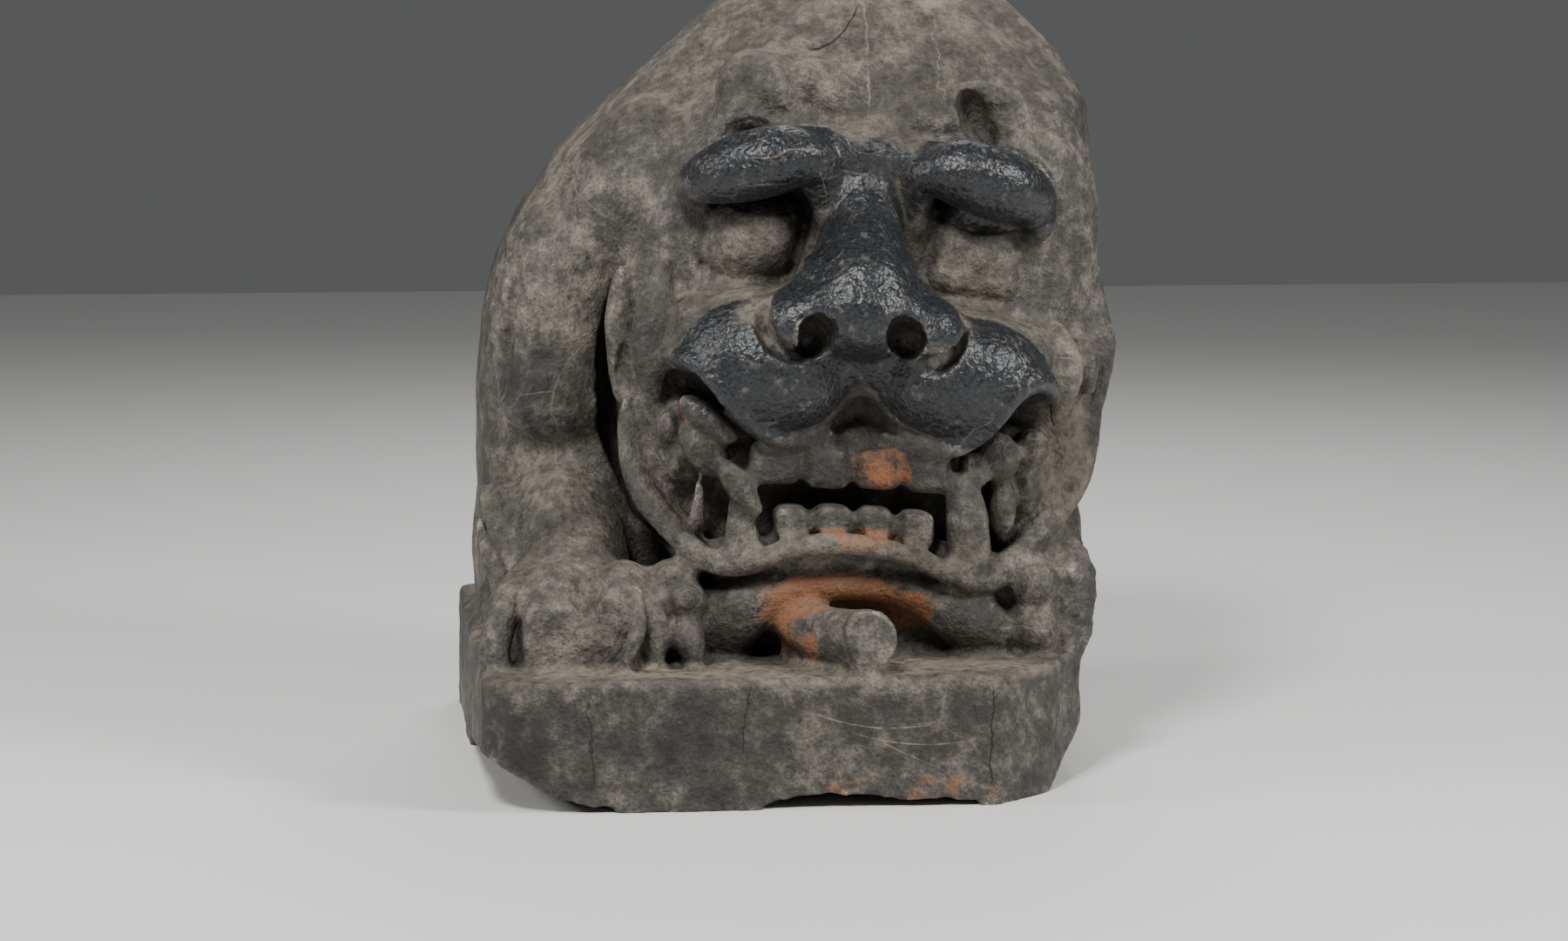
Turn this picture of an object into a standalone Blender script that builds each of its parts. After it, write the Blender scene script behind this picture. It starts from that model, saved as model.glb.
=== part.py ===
"""A crouching guardian lion, carved with its plinth from one block of dark limestone.

The plinth has its own sizes in metres. The lion is laid out on a carver's grid whose square, GRID, is a
hundredth of the lion's height: x runs to the right of a person who faces the lion, y runs away from that
person, and z rises from the plinth's top. Sub-forms are modelled as overlapping masses, fused with a
voxel remesh, hollowed with cutters, and fused again with the finer masses.
"""

import math

import bmesh
import bpy
from mathutils import Matrix, Vector

# Driving sizes, in metres
PLINTH_WIDTH = 0.69
PLINTH_BULGE = 0.017
PLINTH_DEPTH = 0.76
PLINTH_HEIGHT = 0.15
LION_HEIGHT = 0.825

# Plinth details, in metres
CORNER_CHAMFER = (0.105, 0.13)
CORNER_ROUND = 0.03
ARRIS_ROUND = 0.008
RECESSES = ((0.055, 0.17, 0.016), (0.165, 0.11, 0.009))
RECESS_DEPTH = 0.20

# The carver's grid
GRID = LION_HEIGHT / 100
SINK = 3

# The head's middle and its lean, in grid squares and degrees: the face tips towards the right foreleg
HEAD_X = 10.7
HEAD_DRIFT = 4.1
JAW_ROLL = 3.0
BROW_ROLL = 6.3

# Fineness of the solid, in metres, and its triangle budget
ROUGH_VOXEL = 0.009
FINE_VOXEL = 0.005
ROUGH_SMOOTHING = 10
FINE_SMOOTHING = 2
TRIANGLES = 9400

BALL_SEGMENTS = 32
BALL_RINGS = 20
RING_POINTS = 48
ROPE_SIDES = 5


def clear_scene():
    """Remove whatever the scene starts with."""
    for old in list(bpy.data.objects):
        bpy.data.objects.remove(old)


def new_collection(name):
    """Make a collection in the scene."""
    made = bpy.data.collections.new(name)
    bpy.context.scene.collection.children.link(made)
    return made


def at(x, y, z):
    """A point of the carver's grid, in metres."""
    return Vector((x * GRID, y * GRID, PLINTH_HEIGHT + z * GRID))


def smooth_step(low, high, value):
    """Rise smoothly from 0 at low to 1 at high."""
    t = min(1.0, max(0.0, (value - low) / (high - low)))
    return t * t * (3 - 2 * t)


def lean(point):
    """Move a point of the upright, centred head to its place on the tipped head."""
    up = (point.z - PLINTH_HEIGHT) / GRID
    roll = math.radians(JAW_ROLL + (BROW_ROLL - JAW_ROLL) * smooth_step(42, 56, up))
    drift = HEAD_X + HEAD_DRIFT * smooth_step(50, 72, up)
    return Vector((point.x + drift * GRID, point.y, point.z - point.x * math.tan(roll)))


def as_mesh_object(source):
    """Replace a curve object, or an object with modifiers, by a plain mesh object with welded caps."""
    graph = bpy.context.evaluated_depsgraph_get()
    mesh = bpy.data.meshes.new_from_object(source.evaluated_get(graph))
    shape = bmesh.new()
    shape.from_mesh(mesh)
    bmesh.ops.remove_doubles(shape, verts=shape.verts, dist=0.00005)
    bmesh.ops.transform(shape, matrix=source.matrix_world, verts=shape.verts)
    bmesh.ops.recalc_face_normals(shape, faces=shape.faces)
    shape.to_mesh(mesh)
    shape.free()
    made = bpy.data.objects.new(source.name + "_mesh", mesh)
    bpy.context.scene.collection.objects.link(made)
    bpy.data.objects.remove(source)
    return made


def ball(centre, radii, turn=(0, 0, 0)):
    """An ellipsoid: centre and radii in grid squares, turn in degrees."""
    bpy.ops.mesh.primitive_uv_sphere_add(segments=BALL_SEGMENTS, ring_count=BALL_RINGS, radius=GRID)
    made = bpy.context.object
    angles = [math.radians(degrees) for degrees in turn]
    turned = Matrix.Rotation(angles[2], 4, "Z") @ Matrix.Rotation(angles[1], 4, "Y") @ Matrix.Rotation(angles[0], 4, "X")
    made.data.transform(Matrix.Translation(at(*centre)) @ turned @ Matrix.Diagonal((*radii, 1)))
    return made


def block(centre, size, rounding, turn=(0, 0, 0)):
    """A box with rounded edges: centre, size and rounding in grid squares, turn in degrees."""
    bpy.ops.mesh.primitive_cube_add(size=GRID)
    made = bpy.context.object
    made.data.transform(Matrix.Diagonal((*size, 1)))
    bevel = made.modifiers.new("rounding", "BEVEL")
    bevel.width = rounding * GRID
    bevel.segments = 4
    made.rotation_euler = [math.radians(degrees) for degrees in turn]
    made.location = at(*centre)
    bpy.context.view_layer.update()
    return as_mesh_object(made)


def rope(points, radii):
    """A round bar through points, whose radius follows radii. Both are in grid squares."""
    curve = bpy.data.curves.new("rope", "CURVE")
    curve.dimensions = "3D"
    curve.bevel_depth = 1.0
    curve.bevel_resolution = ROPE_SIDES
    curve.use_fill_caps = True
    curve.resolution_u = 6
    spline = curve.splines.new("NURBS")
    spline.points.add(len(points) - 1)
    for knot, point, radius in zip(spline.points, points, radii):
        knot.co = (*at(*point), 1)
        knot.radius = radius * GRID
    spline.order_u = 3
    spline.use_endpoint_u = True
    made = bpy.data.objects.new("rope", curve)
    bpy.context.scene.collection.objects.link(made)
    bpy.context.view_layer.update()
    return as_mesh_object(made)


def stack(sections, power):
    """A loft through level sections, each (z, left, right, front, back) in grid squares.

    Each section is a superellipse: power 2 is an ellipse, and a higher power is boxier.
    """
    shape = bmesh.new()
    below = None
    for z, left, right, front, back in sections:
        ring = []
        for step in range(RING_POINTS):
            angle = 2 * math.pi * step / RING_POINTS
            across, along = (
                math.copysign(abs(share) ** (2 / power), share) for share in (math.cos(angle), math.sin(angle))
            )
            x = (left + right) / 2 + across * (right - left) / 2
            y = (front + back) / 2 + along * (back - front) / 2
            ring.append(shape.verts.new(at(x, y, z)))
        if below is None:
            shape.faces.new(reversed(ring))
        else:
            for step in range(RING_POINTS):
                after = (step + 1) % RING_POINTS
                shape.faces.new((below[step], below[after], ring[after], ring[step]))
        below = ring
    shape.faces.new(below)
    mesh = bpy.data.meshes.new("stack")
    shape.to_mesh(mesh)
    shape.free()
    made = bpy.data.objects.new("stack", mesh)
    bpy.context.scene.collection.objects.link(made)
    return made


def prism(outline, front, back, rounding):
    """An upright plate: its outline is (x, z) points seen from the front, from depth front to depth back."""
    curve = bpy.data.curves.new("prism", "CURVE")
    curve.dimensions = "2D"
    curve.fill_mode = "BOTH"
    curve.extrude = (back - front) * GRID / 2
    spline = curve.splines.new("POLY")
    spline.points.add(len(outline) - 1)
    for knot, (x, z) in zip(spline.points, outline):
        knot.co = (x * GRID, z * GRID, 0, 1)
    spline.use_cyclic_u = True
    made = bpy.data.objects.new("prism", curve)
    bpy.context.scene.collection.objects.link(made)
    made.rotation_euler = (math.radians(90), 0, 0)
    made.location = at(0, (front + back) / 2, 0)
    bpy.context.view_layer.update()
    solid = as_mesh_object(made)
    bevel = solid.modifiers.new("rounding", "BEVEL")
    bevel.width = rounding * GRID
    bevel.segments = 3
    return as_mesh_object(solid)


def leaned(pieces):
    """Carry the head's pieces, modelled upright, to the tipped head."""
    for piece in pieces:
        for vertex in piece.data.vertices:
            vertex.co = lean(vertex.co)
    return pieces


def is_closed(mesh):
    """Whether every edge of a mesh joins exactly two faces."""
    shape = bmesh.new()
    shape.from_mesh(mesh)
    closed = all(edge.is_manifold for edge in shape.edges)
    shape.free()
    return closed


def fuse(pieces, voxel, smoothing):
    """Join overlapping pieces into one skin with a voxel remesh, and smooth it.

    Where two skins touch in a voxel's corner, the remesh leaves an edge with four faces, so a slightly
    coarser voxel is tried until there is none.
    """
    joined = bmesh.new()
    for piece in pieces:
        joined.from_mesh(piece.data)
        bpy.data.objects.remove(piece)
    mesh = bpy.data.meshes.new("clay")
    joined.to_mesh(mesh)
    joined.free()
    for attempt in range(8):
        clay = bpy.data.objects.new("clay", mesh)
        bpy.context.scene.collection.objects.link(clay)
        remesh = clay.modifiers.new("remesh", "REMESH")
        remesh.mode = "VOXEL"
        remesh.voxel_size = voxel * (1 + 0.015 * attempt)
        smooth = clay.modifiers.new("smooth", "SMOOTH")
        smooth.factor = 0.5
        smooth.iterations = smoothing
        skin = as_mesh_object(clay)
        if is_closed(skin.data):
            break
        if attempt < 7:
            bpy.data.objects.remove(skin)
    return skin


def hollow(clay, cutters):
    """Cut the cutters away from the clay.

    The exact solver fails here: at the eyes and mouth it leaves loose bodies, and at the nose nothing at all.
    """
    for cutter in cutters:
        cut = clay.modifiers.new("cut", "BOOLEAN")
        cut.operation = "DIFFERENCE"
        cut.solver = "MANIFOLD"
        cut.object = cutter
    clay = as_mesh_object(clay)
    for cutter in cutters:
        bpy.data.objects.remove(cutter)
    return clay


def plinth():
    """The slab that the lion crouches on, with one front corner chamfered and one rounded."""
    half_width, half_depth = PLINTH_WIDTH / 2, PLINTH_DEPTH / 2
    chamfer_x, chamfer_y = CORNER_CHAMFER
    corners = [
        (-half_width + CORNER_ROUND, -half_depth),
        (half_width - chamfer_x, -half_depth),
        (half_width - 0.35 * chamfer_x, -half_depth + 0.52 * chamfer_y),
        (half_width + PLINTH_BULGE, -half_depth + 1.2 * chamfer_y),
        (half_width + PLINTH_BULGE, 0.5 * half_depth),
        (half_width, half_depth - CORNER_ROUND),
        (half_width - CORNER_ROUND, half_depth),
        (-half_width + CORNER_ROUND, half_depth),
        (-half_width - 0.7 * PLINTH_BULGE, half_depth - CORNER_ROUND),
        (-half_width, -half_depth + CORNER_ROUND),
    ]
    shape = bmesh.new()
    floor = shape.faces.new([shape.verts.new((x, y, 0)) for x, y in reversed(corners)])
    raised = bmesh.ops.extrude_face_region(shape, geom=[floor])
    lifted = [item for item in raised["geom"] if isinstance(item, bmesh.types.BMVert)]
    bmesh.ops.translate(shape, verts=lifted, vec=(0, 0, PLINTH_HEIGHT))
    bmesh.ops.recalc_face_normals(shape, faces=shape.faces)
    mesh = bpy.data.meshes.new("plinth")
    shape.to_mesh(mesh)
    shape.free()
    made = bpy.data.objects.new("plinth", mesh)
    bpy.context.scene.collection.objects.link(made)
    bevel = made.modifiers.new("arris", "BEVEL")
    bevel.width = ARRIS_ROUND
    bevel.segments = 3
    return [as_mesh_object(made)]


def body():
    """The humped body behind the head, and the haunches on both flanks."""
    trunk = stack(
        [
            (-SINK, -40, 42, -15, 40),
            (12, -40.5, 44, -15, 42),
            (24, -40.8, 46.5, -14, 42.5),
            (35, -40.8, 48, -13.5, 42),
            (45, -40, 48.5, -13.5, 41),
            (54, -37.8, 49.5, -14, 39),
            (62, -34, 50, -15, 37),
            (70, -28.4, 50, -15.5, 35),
            (77, -21.2, 49.4, -13.5, 32.5),
            (84, -13.4, 45.4, -9, 30),
            (91, -5.6, 38.6, -4, 26),
            (97, 3, 29.5, 3, 21),
            (100.4, 10, 20, 9, 15),
        ],
        3.2,
    )
    mane = ball((-18, -5, 65), (9.5, 12, 15), (0, 28, 0))
    haunches = [ball((-33, 22, 9), (8.6, 18, 20)), ball((38, 22, 9), (9.4, 18, 20))]
    feet = [ball((x, 8, 3), (7, 14, 5)) for x in (-34.5, 36)]
    return [trunk, mane, *haunches, *feet]


def tail():
    """A tail that rises up the rump and curls over."""
    root = rope([(2, 41, -SINK), (2, 44, 14), (5, 43.5, 34), (10, 40, 52)], [5, 4.6, 4.4, 4])
    curls = [
        rope([(10, 40, 46), (10 + 7 * side, 40, 56), (10 + 9 * side, 36, 66), (10 + 4 * side, 33, 72)], [4, 4.5, 4, 2.5])
        for side in (-1, 0, 1)
    ]
    return [root, *curls]


def left_foreleg():
    """The foreleg at the viewer's left: shoulder, the lump over the elbow, forearm and paw."""
    shoulder = ball((-28, -2, 48), (11.4, 12.5, 18), (0, 10, 0))
    lump = ball((-29.5, -7.5, 35.5), (8.5, 7.5, 7.5))
    forearm = rope(
        [(-29, 3, 19.5), (-28.5, -8, 19.5), (-28, -17, 13), (-26.5, -26, 6)],
        [8.5, 8.5, 8.2, 7.2],
    )
    pad = ball((-27, -23, 3), (12.5, 9, 7))
    web = block((-24, -24, 3.5), (27, 14, 11), 4.5)
    return [shoulder, lump, forearm, pad, web]


def left_toes():
    """Four toes of the stretched paw, with their claws."""
    outer = [rope([(-32.5, -22, 13.5), (-37.6, -28.5, 10), (-39.4, -32, 5.5), (-39.8, -33.5, 0.5)], [2.0, 2.4, 2.3, 2.2])]
    broad = [
        block((-32.0, -32.2, 4.4), (7.6, 8, 9.6), 1.6),
        ball((-31.3, -29, 9.6), (5.0, 5.6, 4.4)),
        rope([(-27.6, -26, 11.6), (-27.1, -32, 9), (-27.2, -35, 4.4), (-27.3, -35, 0)], [1.8, 1.7, 1.5, 1.3]),
    ]
    clawed = [
        block((-22.9, -33, 5.2), (5.4, 7.6, 10.8), 1.6),
        ball((-21.6, -29, 10.4), (4.3, 5.4, 3.8)),
        rope([(-17.9, -27, 11.6), (-17.6, -32, 8.6), (-17.9, -34.6, 4.4), (-18.1, -34.6, 0)], [2.2, 2.5, 2.4, 2.0]),
    ]
    inner = [
        ball((-14.2, -28.6, 12.0), (3.5, 4.4, 2.4)),
        ball((-13.2, -31, 8.6), (3.4, 4.4, 3.0)),
        ball((-13.5, -34.6, 9.4), (1.9, 1.7, 1.8)),
        block((-14.4, -28.6, 4), (6.6, 7, 10), 2.0),
    ]
    claws = [
        rope(
            [(-20.3, -34, 11.3), (-19.8, -37, 8.4), (-20.3, -38.6, 5.3), (-21.4, -39.2, 2.9), (-22.7, -39.4, 0.4)],
            [0.8, 1.2, 1.3, 1.2, 0.7],
        ),
        rope([(-13.2, -32, 5.0), (-12.9, -34.6, 4.2), (-12.4, -36, 2.2), (-12.0, -36.4, 0.6)], [2.6, 2.6, 2.0, 1.0]),
    ]
    return outer + broad + clawed + inner + claws


def elbow_tufts():
    """Wavy locks of hair behind the stretched foreleg."""
    return [
        rope(
            [(-38.6, -2, 23.4), (-37.4, -8, 21.6), (-36.2, -11.5, 18.6), (-35, -15, 15.8), (-33.4, -18, 13.6)],
            [0.6, 1.5, 1.6, 1.5, 0.9],
        ),
        rope(
            [(-40.4, -4, 21.4), (-39.6, -9, 19), (-38.4, -13, 15.6), (-36.8, -16.5, 12.8), (-35.6, -20, 10)],
            [0.8, 1.5, 1.7, 1.6, 0.9],
        ),
        rope([(-41, -6, 17), (-40.2, -11, 13.6), (-38.8, -16, 9.8), (-38, -21, 6)], [0.8, 1.4, 1.5, 0.9]),
    ]


def right_foreleg():
    """The tucked foreleg at the viewer's right, beside the jaw."""
    arm = ball((40, -10, 13), (6.5, 13, 13))
    wrist = block((37.2, -20, 6), (12, 14, 16), 3.5)
    side = rope([(41.6, -17, 13), (43, -22.6, 12), (43, -24.4, 7.5), (42.6, -23.4, 0)], [3.0, 3.6, 3.6, 3.2])
    return [arm, wrist, side]


def right_toes():
    """The toes of the tucked paw, the outer one broken."""
    knuckle = ball((36.6, -27.6, 9.9), (3.8, 4.8, 3.6))
    toe = ball((36.4, -28.6, 3.4), (3.9, 4.8, 3.6))
    broken_toe = block((42.4, -22.5, 6), (5, 9, 13), 1.8, (0, 0, -12))
    return [knuckle, toe, broken_toe]


def head_core():
    """The upright head before the lean: skull, cheeks and jaw."""
    skull = stack(
        [
            (-SINK, -19.5, 23, -25, 4),
            (4, -21.5, 25.5, -28.5, 4),
            (10, -24.5, 28.5, -31.5, 4),
            (17, -27.5, 31.5, -31, 4),
            (26, -30.8, 35, -29, 4),
            (36, -32, 36.5, -27.5, 4),
            (46, -32.5, 36.8, -26, 4),
            (56, -31.5, 36.8, -25, 4),
            (66, -30.5, 34.4, -24.5, 4),
            (73, -27, 32.5, -23, 4),
            (80, -20, 29.5, -18.5, 4),
            (87, -13, 23, -13, 4),
            (93, -5, 14, -6.5, 4),
        ],
        2.8,
    )
    return [skull]


def muzzle():
    """The two lobes of the upper lip, their corners and the stone between them."""
    lobes = [ball((-12.4, -27.5, 40.4), (13.0, 12.5, 10.8)), ball((14.6, -27.5, 40.3), (13.4, 12.5, 10.4))]
    corners = [ball((-20.5, -24.5, 43.5), (5.6, 7.5, 6.2)), ball((24.6, -24.5, 43), (5.6, 7.5, 6.0))]
    between = ball((0.9, -31.0, 42.2), (6.5, 6.5, 6.6))
    return [*lobes, *corners, between]


def nose():
    """The bridge, the ball of the nose and its wings."""
    bridge = rope(
        [
            (-1.7, -19.6, 73),
            (-1.4, -22.2, 66.5),
            (-0.8, -25.2, 61.4),
            (0, -29.8, 57),
            (0.3, -34, 53.2),
            (0.2, -37, 50.4),
        ],
        [5.6, 5.8, 5.4, 6.0, 7.2, 7.2],
    )
    root = ball((-1.0, -20.4, 61), (9.6, 6.4, 9))
    flare = ball((0.5, -31.6, 51.6), (10.2, 8.6, 7.0))
    tip = ball((0, -37.6, 49.4), (8.2, 6.6, 6.4))
    wings = [ball((-8.6, -35.6, 46.9), (5.4, 6.6, 5.2)), ball((9.9, -35.6, 47.3), (5.4, 6.6, 5.2))]
    return [bridge, root, flare, tip, *wings]


def nose_hollows():
    """The crescents around the wings of the nose."""
    return [
        rope(
            [(-14.2, -35.6, 50.6), (-14.9, -37.4, 46.6), (-12.6, -39.2, 43.0), (-8.6, -39.6, 42.2), (-4.6, -39.4, 43.6)],
            [0.9, 1.6, 1.8, 1.6, 0.9],
        ),
        rope(
            [(14.6, -35.6, 50.8), (15.4, -37.4, 46.0), (12.8, -39.2, 41.6), (8.0, -39.4, 39.6), (3.4, -38.8, 41.4)],
            [0.9, 1.6, 1.8, 1.7, 0.9],
        ),
    ]


def brows():
    """Heavy rolls over the eyes, joined by a bar, which run down into the bridge."""
    left = rope(
        [
            (-24.2, -23.0, 64.0),
            (-22.4, -26.3, 65.3),
            (-17.9, -28.8, 67.1),
            (-13.2, -29.2, 68.8),
            (-9.0, -28.0, 68.3),
            (-6.7, -27.0, 64.6),
            (-5.4, -26, 60.5),
        ],
        [3.2, 4.4, 5.3, 4.9, 3.8, 2.4, 1.6],
    )
    right = rope(
        [
            (24.2, -22.2, 65.6),
            (21.6, -25.5, 66.8),
            (17.2, -28.5, 68.1),
            (12.3, -29, 69.2),
            (8.4, -28.3, 69.1),
            (6.1, -27.0, 67.6),
            (6.3, -25.6, 63.5),
            (8.0, -24.6, 59.8),
        ],
        [2.8, 4.2, 5.2, 5.1, 4.2, 3.0, 2.0, 1.4],
    )
    bar = rope(
        [(-14.5, -24.6, 69.9), (-7.2, -25.0, 70.3), (-1.0, -25.0, 69.7), (6.3, -25.0, 70.0), (12.5, -24.8, 69.9)],
        [3.0, 3.4, 3.4, 3.4, 3.0],
    )
    ends = [ball((24.0, -24.2, 63.2), (2.7, 3.2, 3.2)), ball((-24.2, -24.2, 63.4), (3.2, 3.6, 3.0))]
    middle = ball((-1.4, -22.6, 67.4), (8.2, 5.2, 6.4))
    return [left, right, bar, *ends, middle]


def eyes():
    """The bulging eyes, set deep under the brows."""
    left = [block((-14.3, -21.2, 57.2), (13.0, 9, 12.6), 4.0, (-6, 0, -6)), ball((-14.3, -21.6, 56.8), (6.4, 5.8, 6.6))]
    right = [block((16.5, -21.2, 58.4), (13.4, 9.4, 14.2), 2.6, (-6, 0, 6)), ball((16.7, -20.6, 58.2), (6.2, 6.2, 6.6))]
    return left + right


def socket_cutters():
    """Recesses around the eyes."""
    left = block((-15.1, -27.4, 58.3), (14.4, 16, 14.2), 3.0, (0, 0, -8))
    right = block((16.9, -27.4, 59.3), (14.4, 16, 16.4), 2.2, (0, 0, 8))
    return [left, right]


def nostril_cutters():
    """The two nostrils."""
    left = ball((-6.5, -41.4, 46.4), (2.7, 4.2, 2.7), (-20, 0, 10))
    right = ball((5.9, -41.4, 46.9), (2.8, 4.2, 2.7), (-20, 0, -10))
    return [left, right]


def mouth_cutter():
    """The open mouth, from the upper lip's edge down to the lower lip's."""
    upper_edge = [
        (-28.4, 35.6),
        (-25.4, 39.4),
        (-21.5, 39.6),
        (-18.7, 36.4),
        (-15.5, 32.4),
        (-11.0, 29.9),
        (-5.9, 29.7),
        (-2.2, 31.6),
        (0.2, 33.5),
        (2.6, 31.2),
        (6.3, 29.6),
        (11.9, 29.3),
        (17.0, 31.5),
        (20.9, 35.4),
        (23.2, 38.2),
        (25.6, 39.0),
        (30.5, 37.6),
    ]
    lower_edge = [
        (32.4, 31.5),
        (31, 25.5),
        (27.2, 20.8),
        (23, 16.8),
        (20, 13.4),
        (15.5, 13.4),
        (11, 15.8),
        (0, 18),
        (-11, 16.6),
        (-15.5, 14.4),
        (-19.4, 13.8),
        (-24.0, 17.5),
        (-28.0, 22.5),
        (-29.4, 29.5),
    ]
    return prism(upper_edge + lower_edge, -46, -22.5, 1.0)


def chin_cutter():
    """The hollow under the chin's arch."""
    return ball((-0.3, -33.5, 2.2), (11.6, 7.6, 8.2))


def cheek_cutter():
    """The deep groove between the head's left side and the shoulder."""
    outline = [
        (-17.8, 57.4),
        (-21.8, 51.8),
        (-24, 45),
        (-24.4, 38),
        (-24.2, 30.5),
        (-22.2, 24.8),
        (-19, 18.6),
        (-15, 15),
        (-12.5, 13),
        (-15, 19),
        (-18.6, 24),
        (-20.8, 30.5),
        (-21.6, 38),
        (-22, 45),
        (-20.8, 50.5),
    ]
    return prism(outline, -40, -1, 0.4)


def lips():
    """The beads that edge the upper and lower lip, and the roll of the chin."""
    upper_left = rope(
        [
            (-27.2, -26.0, 41.6),
            (-24.8, -30.6, 41.8),
            (-21.6, -35.8, 40.8),
            (-18.6, -37.4, 37.2),
            (-15.5, -36.2, 33.2),
            (-10.8, -33.8, 30.4),
            (-5.8, -32.4, 30.6),
            (-3.0, -31.2, 32.0),
        ],
        [0.8, 1.4, 1.4, 1.4, 1.4, 1.3, 1.1, 0.6],
    )
    upper_right = rope(
        [
            (3.8, -31.0, 32.0),
            (6.8, -32.4, 30.4),
            (11.9, -33.6, 29.9),
            (16.6, -34.8, 32.0),
            (19.6, -37.4, 36.2),
            (21.9, -37.4, 39.6),
            (24.6, -35.4, 41.2),
            (27.0, -32.6, 40.4),
            (28.4, -30, 37.4),
        ],
        [0.6, 1.1, 1.4, 1.5, 1.5, 1.6, 1.7, 1.6, 0.9],
    )
    lower = rope(
        [
            (-30.7, -19.0, 32.6),
            (-31.0, -21.0, 26.6),
            (-29.2, -24.0, 21.5),
            (-26.1, -27.0, 17.7),
            (-22.6, -30.0, 14.3),
            (-18.8, -32.5, 12.4),
            (-14.4, -34.0, 13.5),
            (-9.7, -35.0, 15.8),
            (-3.9, -36.0, 17.0),
            (1.7, -36.0, 16.8),
            (8.4, -35.2, 15.3),
            (12.8, -34.0, 13.0),
            (16.8, -32.0, 11.5),
            (20.2, -30.0, 11.9),
            (23.8, -27.0, 15.1),
            (27.9, -24.0, 19.1),
            (31.9, -21.5, 22.7),
            (35.0, -19.0, 28.0),
            (36.4, -17.0, 35.1),
        ],
        [1.6, 2.0, 2.1, 2.1, 1.9, 1.7, 1.6, 1.6, 1.6, 1.6, 1.6, 1.7, 1.9, 1.9, 2.0, 2.1, 2.1, 1.8, 1.4],
    )
    chin = rope(
        [
            (-20.0, -25, 0.6),
            (-18.2, -27.6, 4.4),
            (-13.6, -29.2, 7.6),
            (-7.5, -30.8, 10.0),
            (0.5, -31.5, 11.1),
            (8.3, -30.8, 10.0),
            (13.6, -29.6, 7.2),
            (18.6, -27.8, 4.6),
            (20.8, -25.4, 0.8),
        ],
        [5.0, 5.6, 4.4, 2.8, 2.3, 2.8, 4.2, 5.4, 4.8],
    )
    return [upper_left, upper_right, lower, chin]


def cheek_flaps():
    """The pointed folds of the cheeks that hang at the corners of the mouth."""
    return [
        rope([(-26, -22, 53), (-27.2, -24, 48), (-28, -24.8, 42), (-28, -24.8, 38), (-27.6, -24, 34)], [1, 2.8, 3.2, 2.4, 0.7]),
        rope([(29.6, -23, 49), (30.8, -25.4, 44), (30.4, -26, 39), (29.2, -25.4, 33)], [0.8, 2.9, 2.7, 0.6]),
        rope([(33, -19, 48), (34, -21.4, 44.5), (34.4, -22, 41), (34.8, -21.4, 37.6)], [0.8, 2.4, 2.0, 0.6]),
    ]


def side_ears():
    """The drooping leaf-shaped ears behind the cheeks."""
    return [
        ball((-31.5, -17.2, 42.4), (2.5, 3.0, 9.4)),
        rope([(36, -13, 58), (36.8, -15.6, 50), (37, -16.6, 42), (36.2, -17.6, 33)], [0.8, 2.6, 2.7, 0.8]),
    ]


def crown_curls():
    """The two worn curls above the brows."""
    left = [
        ball((-15.4, -15.5, 77.2), (6.6, 6.6, 6.0), (15, 0, 10)),
        ball((-18.2, -18.5, 73.6), (4.2, 4.4, 3.6), (0, 0, 10)),
        ball((-6.6, -17.4, 77.6), (6.2, 4.2, 4.6), (12, 38, 0)),
    ]
    right = [
        ball((8.6, -18.6, 76.0), (7.4, 4.6, 3.6), (12, -8, 0)),
        rope(
            [
                (1.6, -20.4, 74.4),
                (5.5, -20.4, 77.8),
                (10.8, -20.0, 79.4),
                (15.3, -19.6, 80.4),
                (19.4, -18.6, 79.8),
                (21.2, -18.4, 76.8),
                (21.8, -18.8, 73.0),
            ],
            [0.8, 1.4, 1.8, 2.1, 2.1, 1.9, 1.4],
        ),
        ball((18.6, -16.6, 75.4), (3.6, 4.8, 5.0), (0, -12, 0)),
    ]
    return left + right


def curl_break():
    """The hollow where the right curl has broken away."""
    return [ball((14.4, -21.8, 76.6), (2.6, 3.4, 4.6), (0, -24, 0))]


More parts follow.
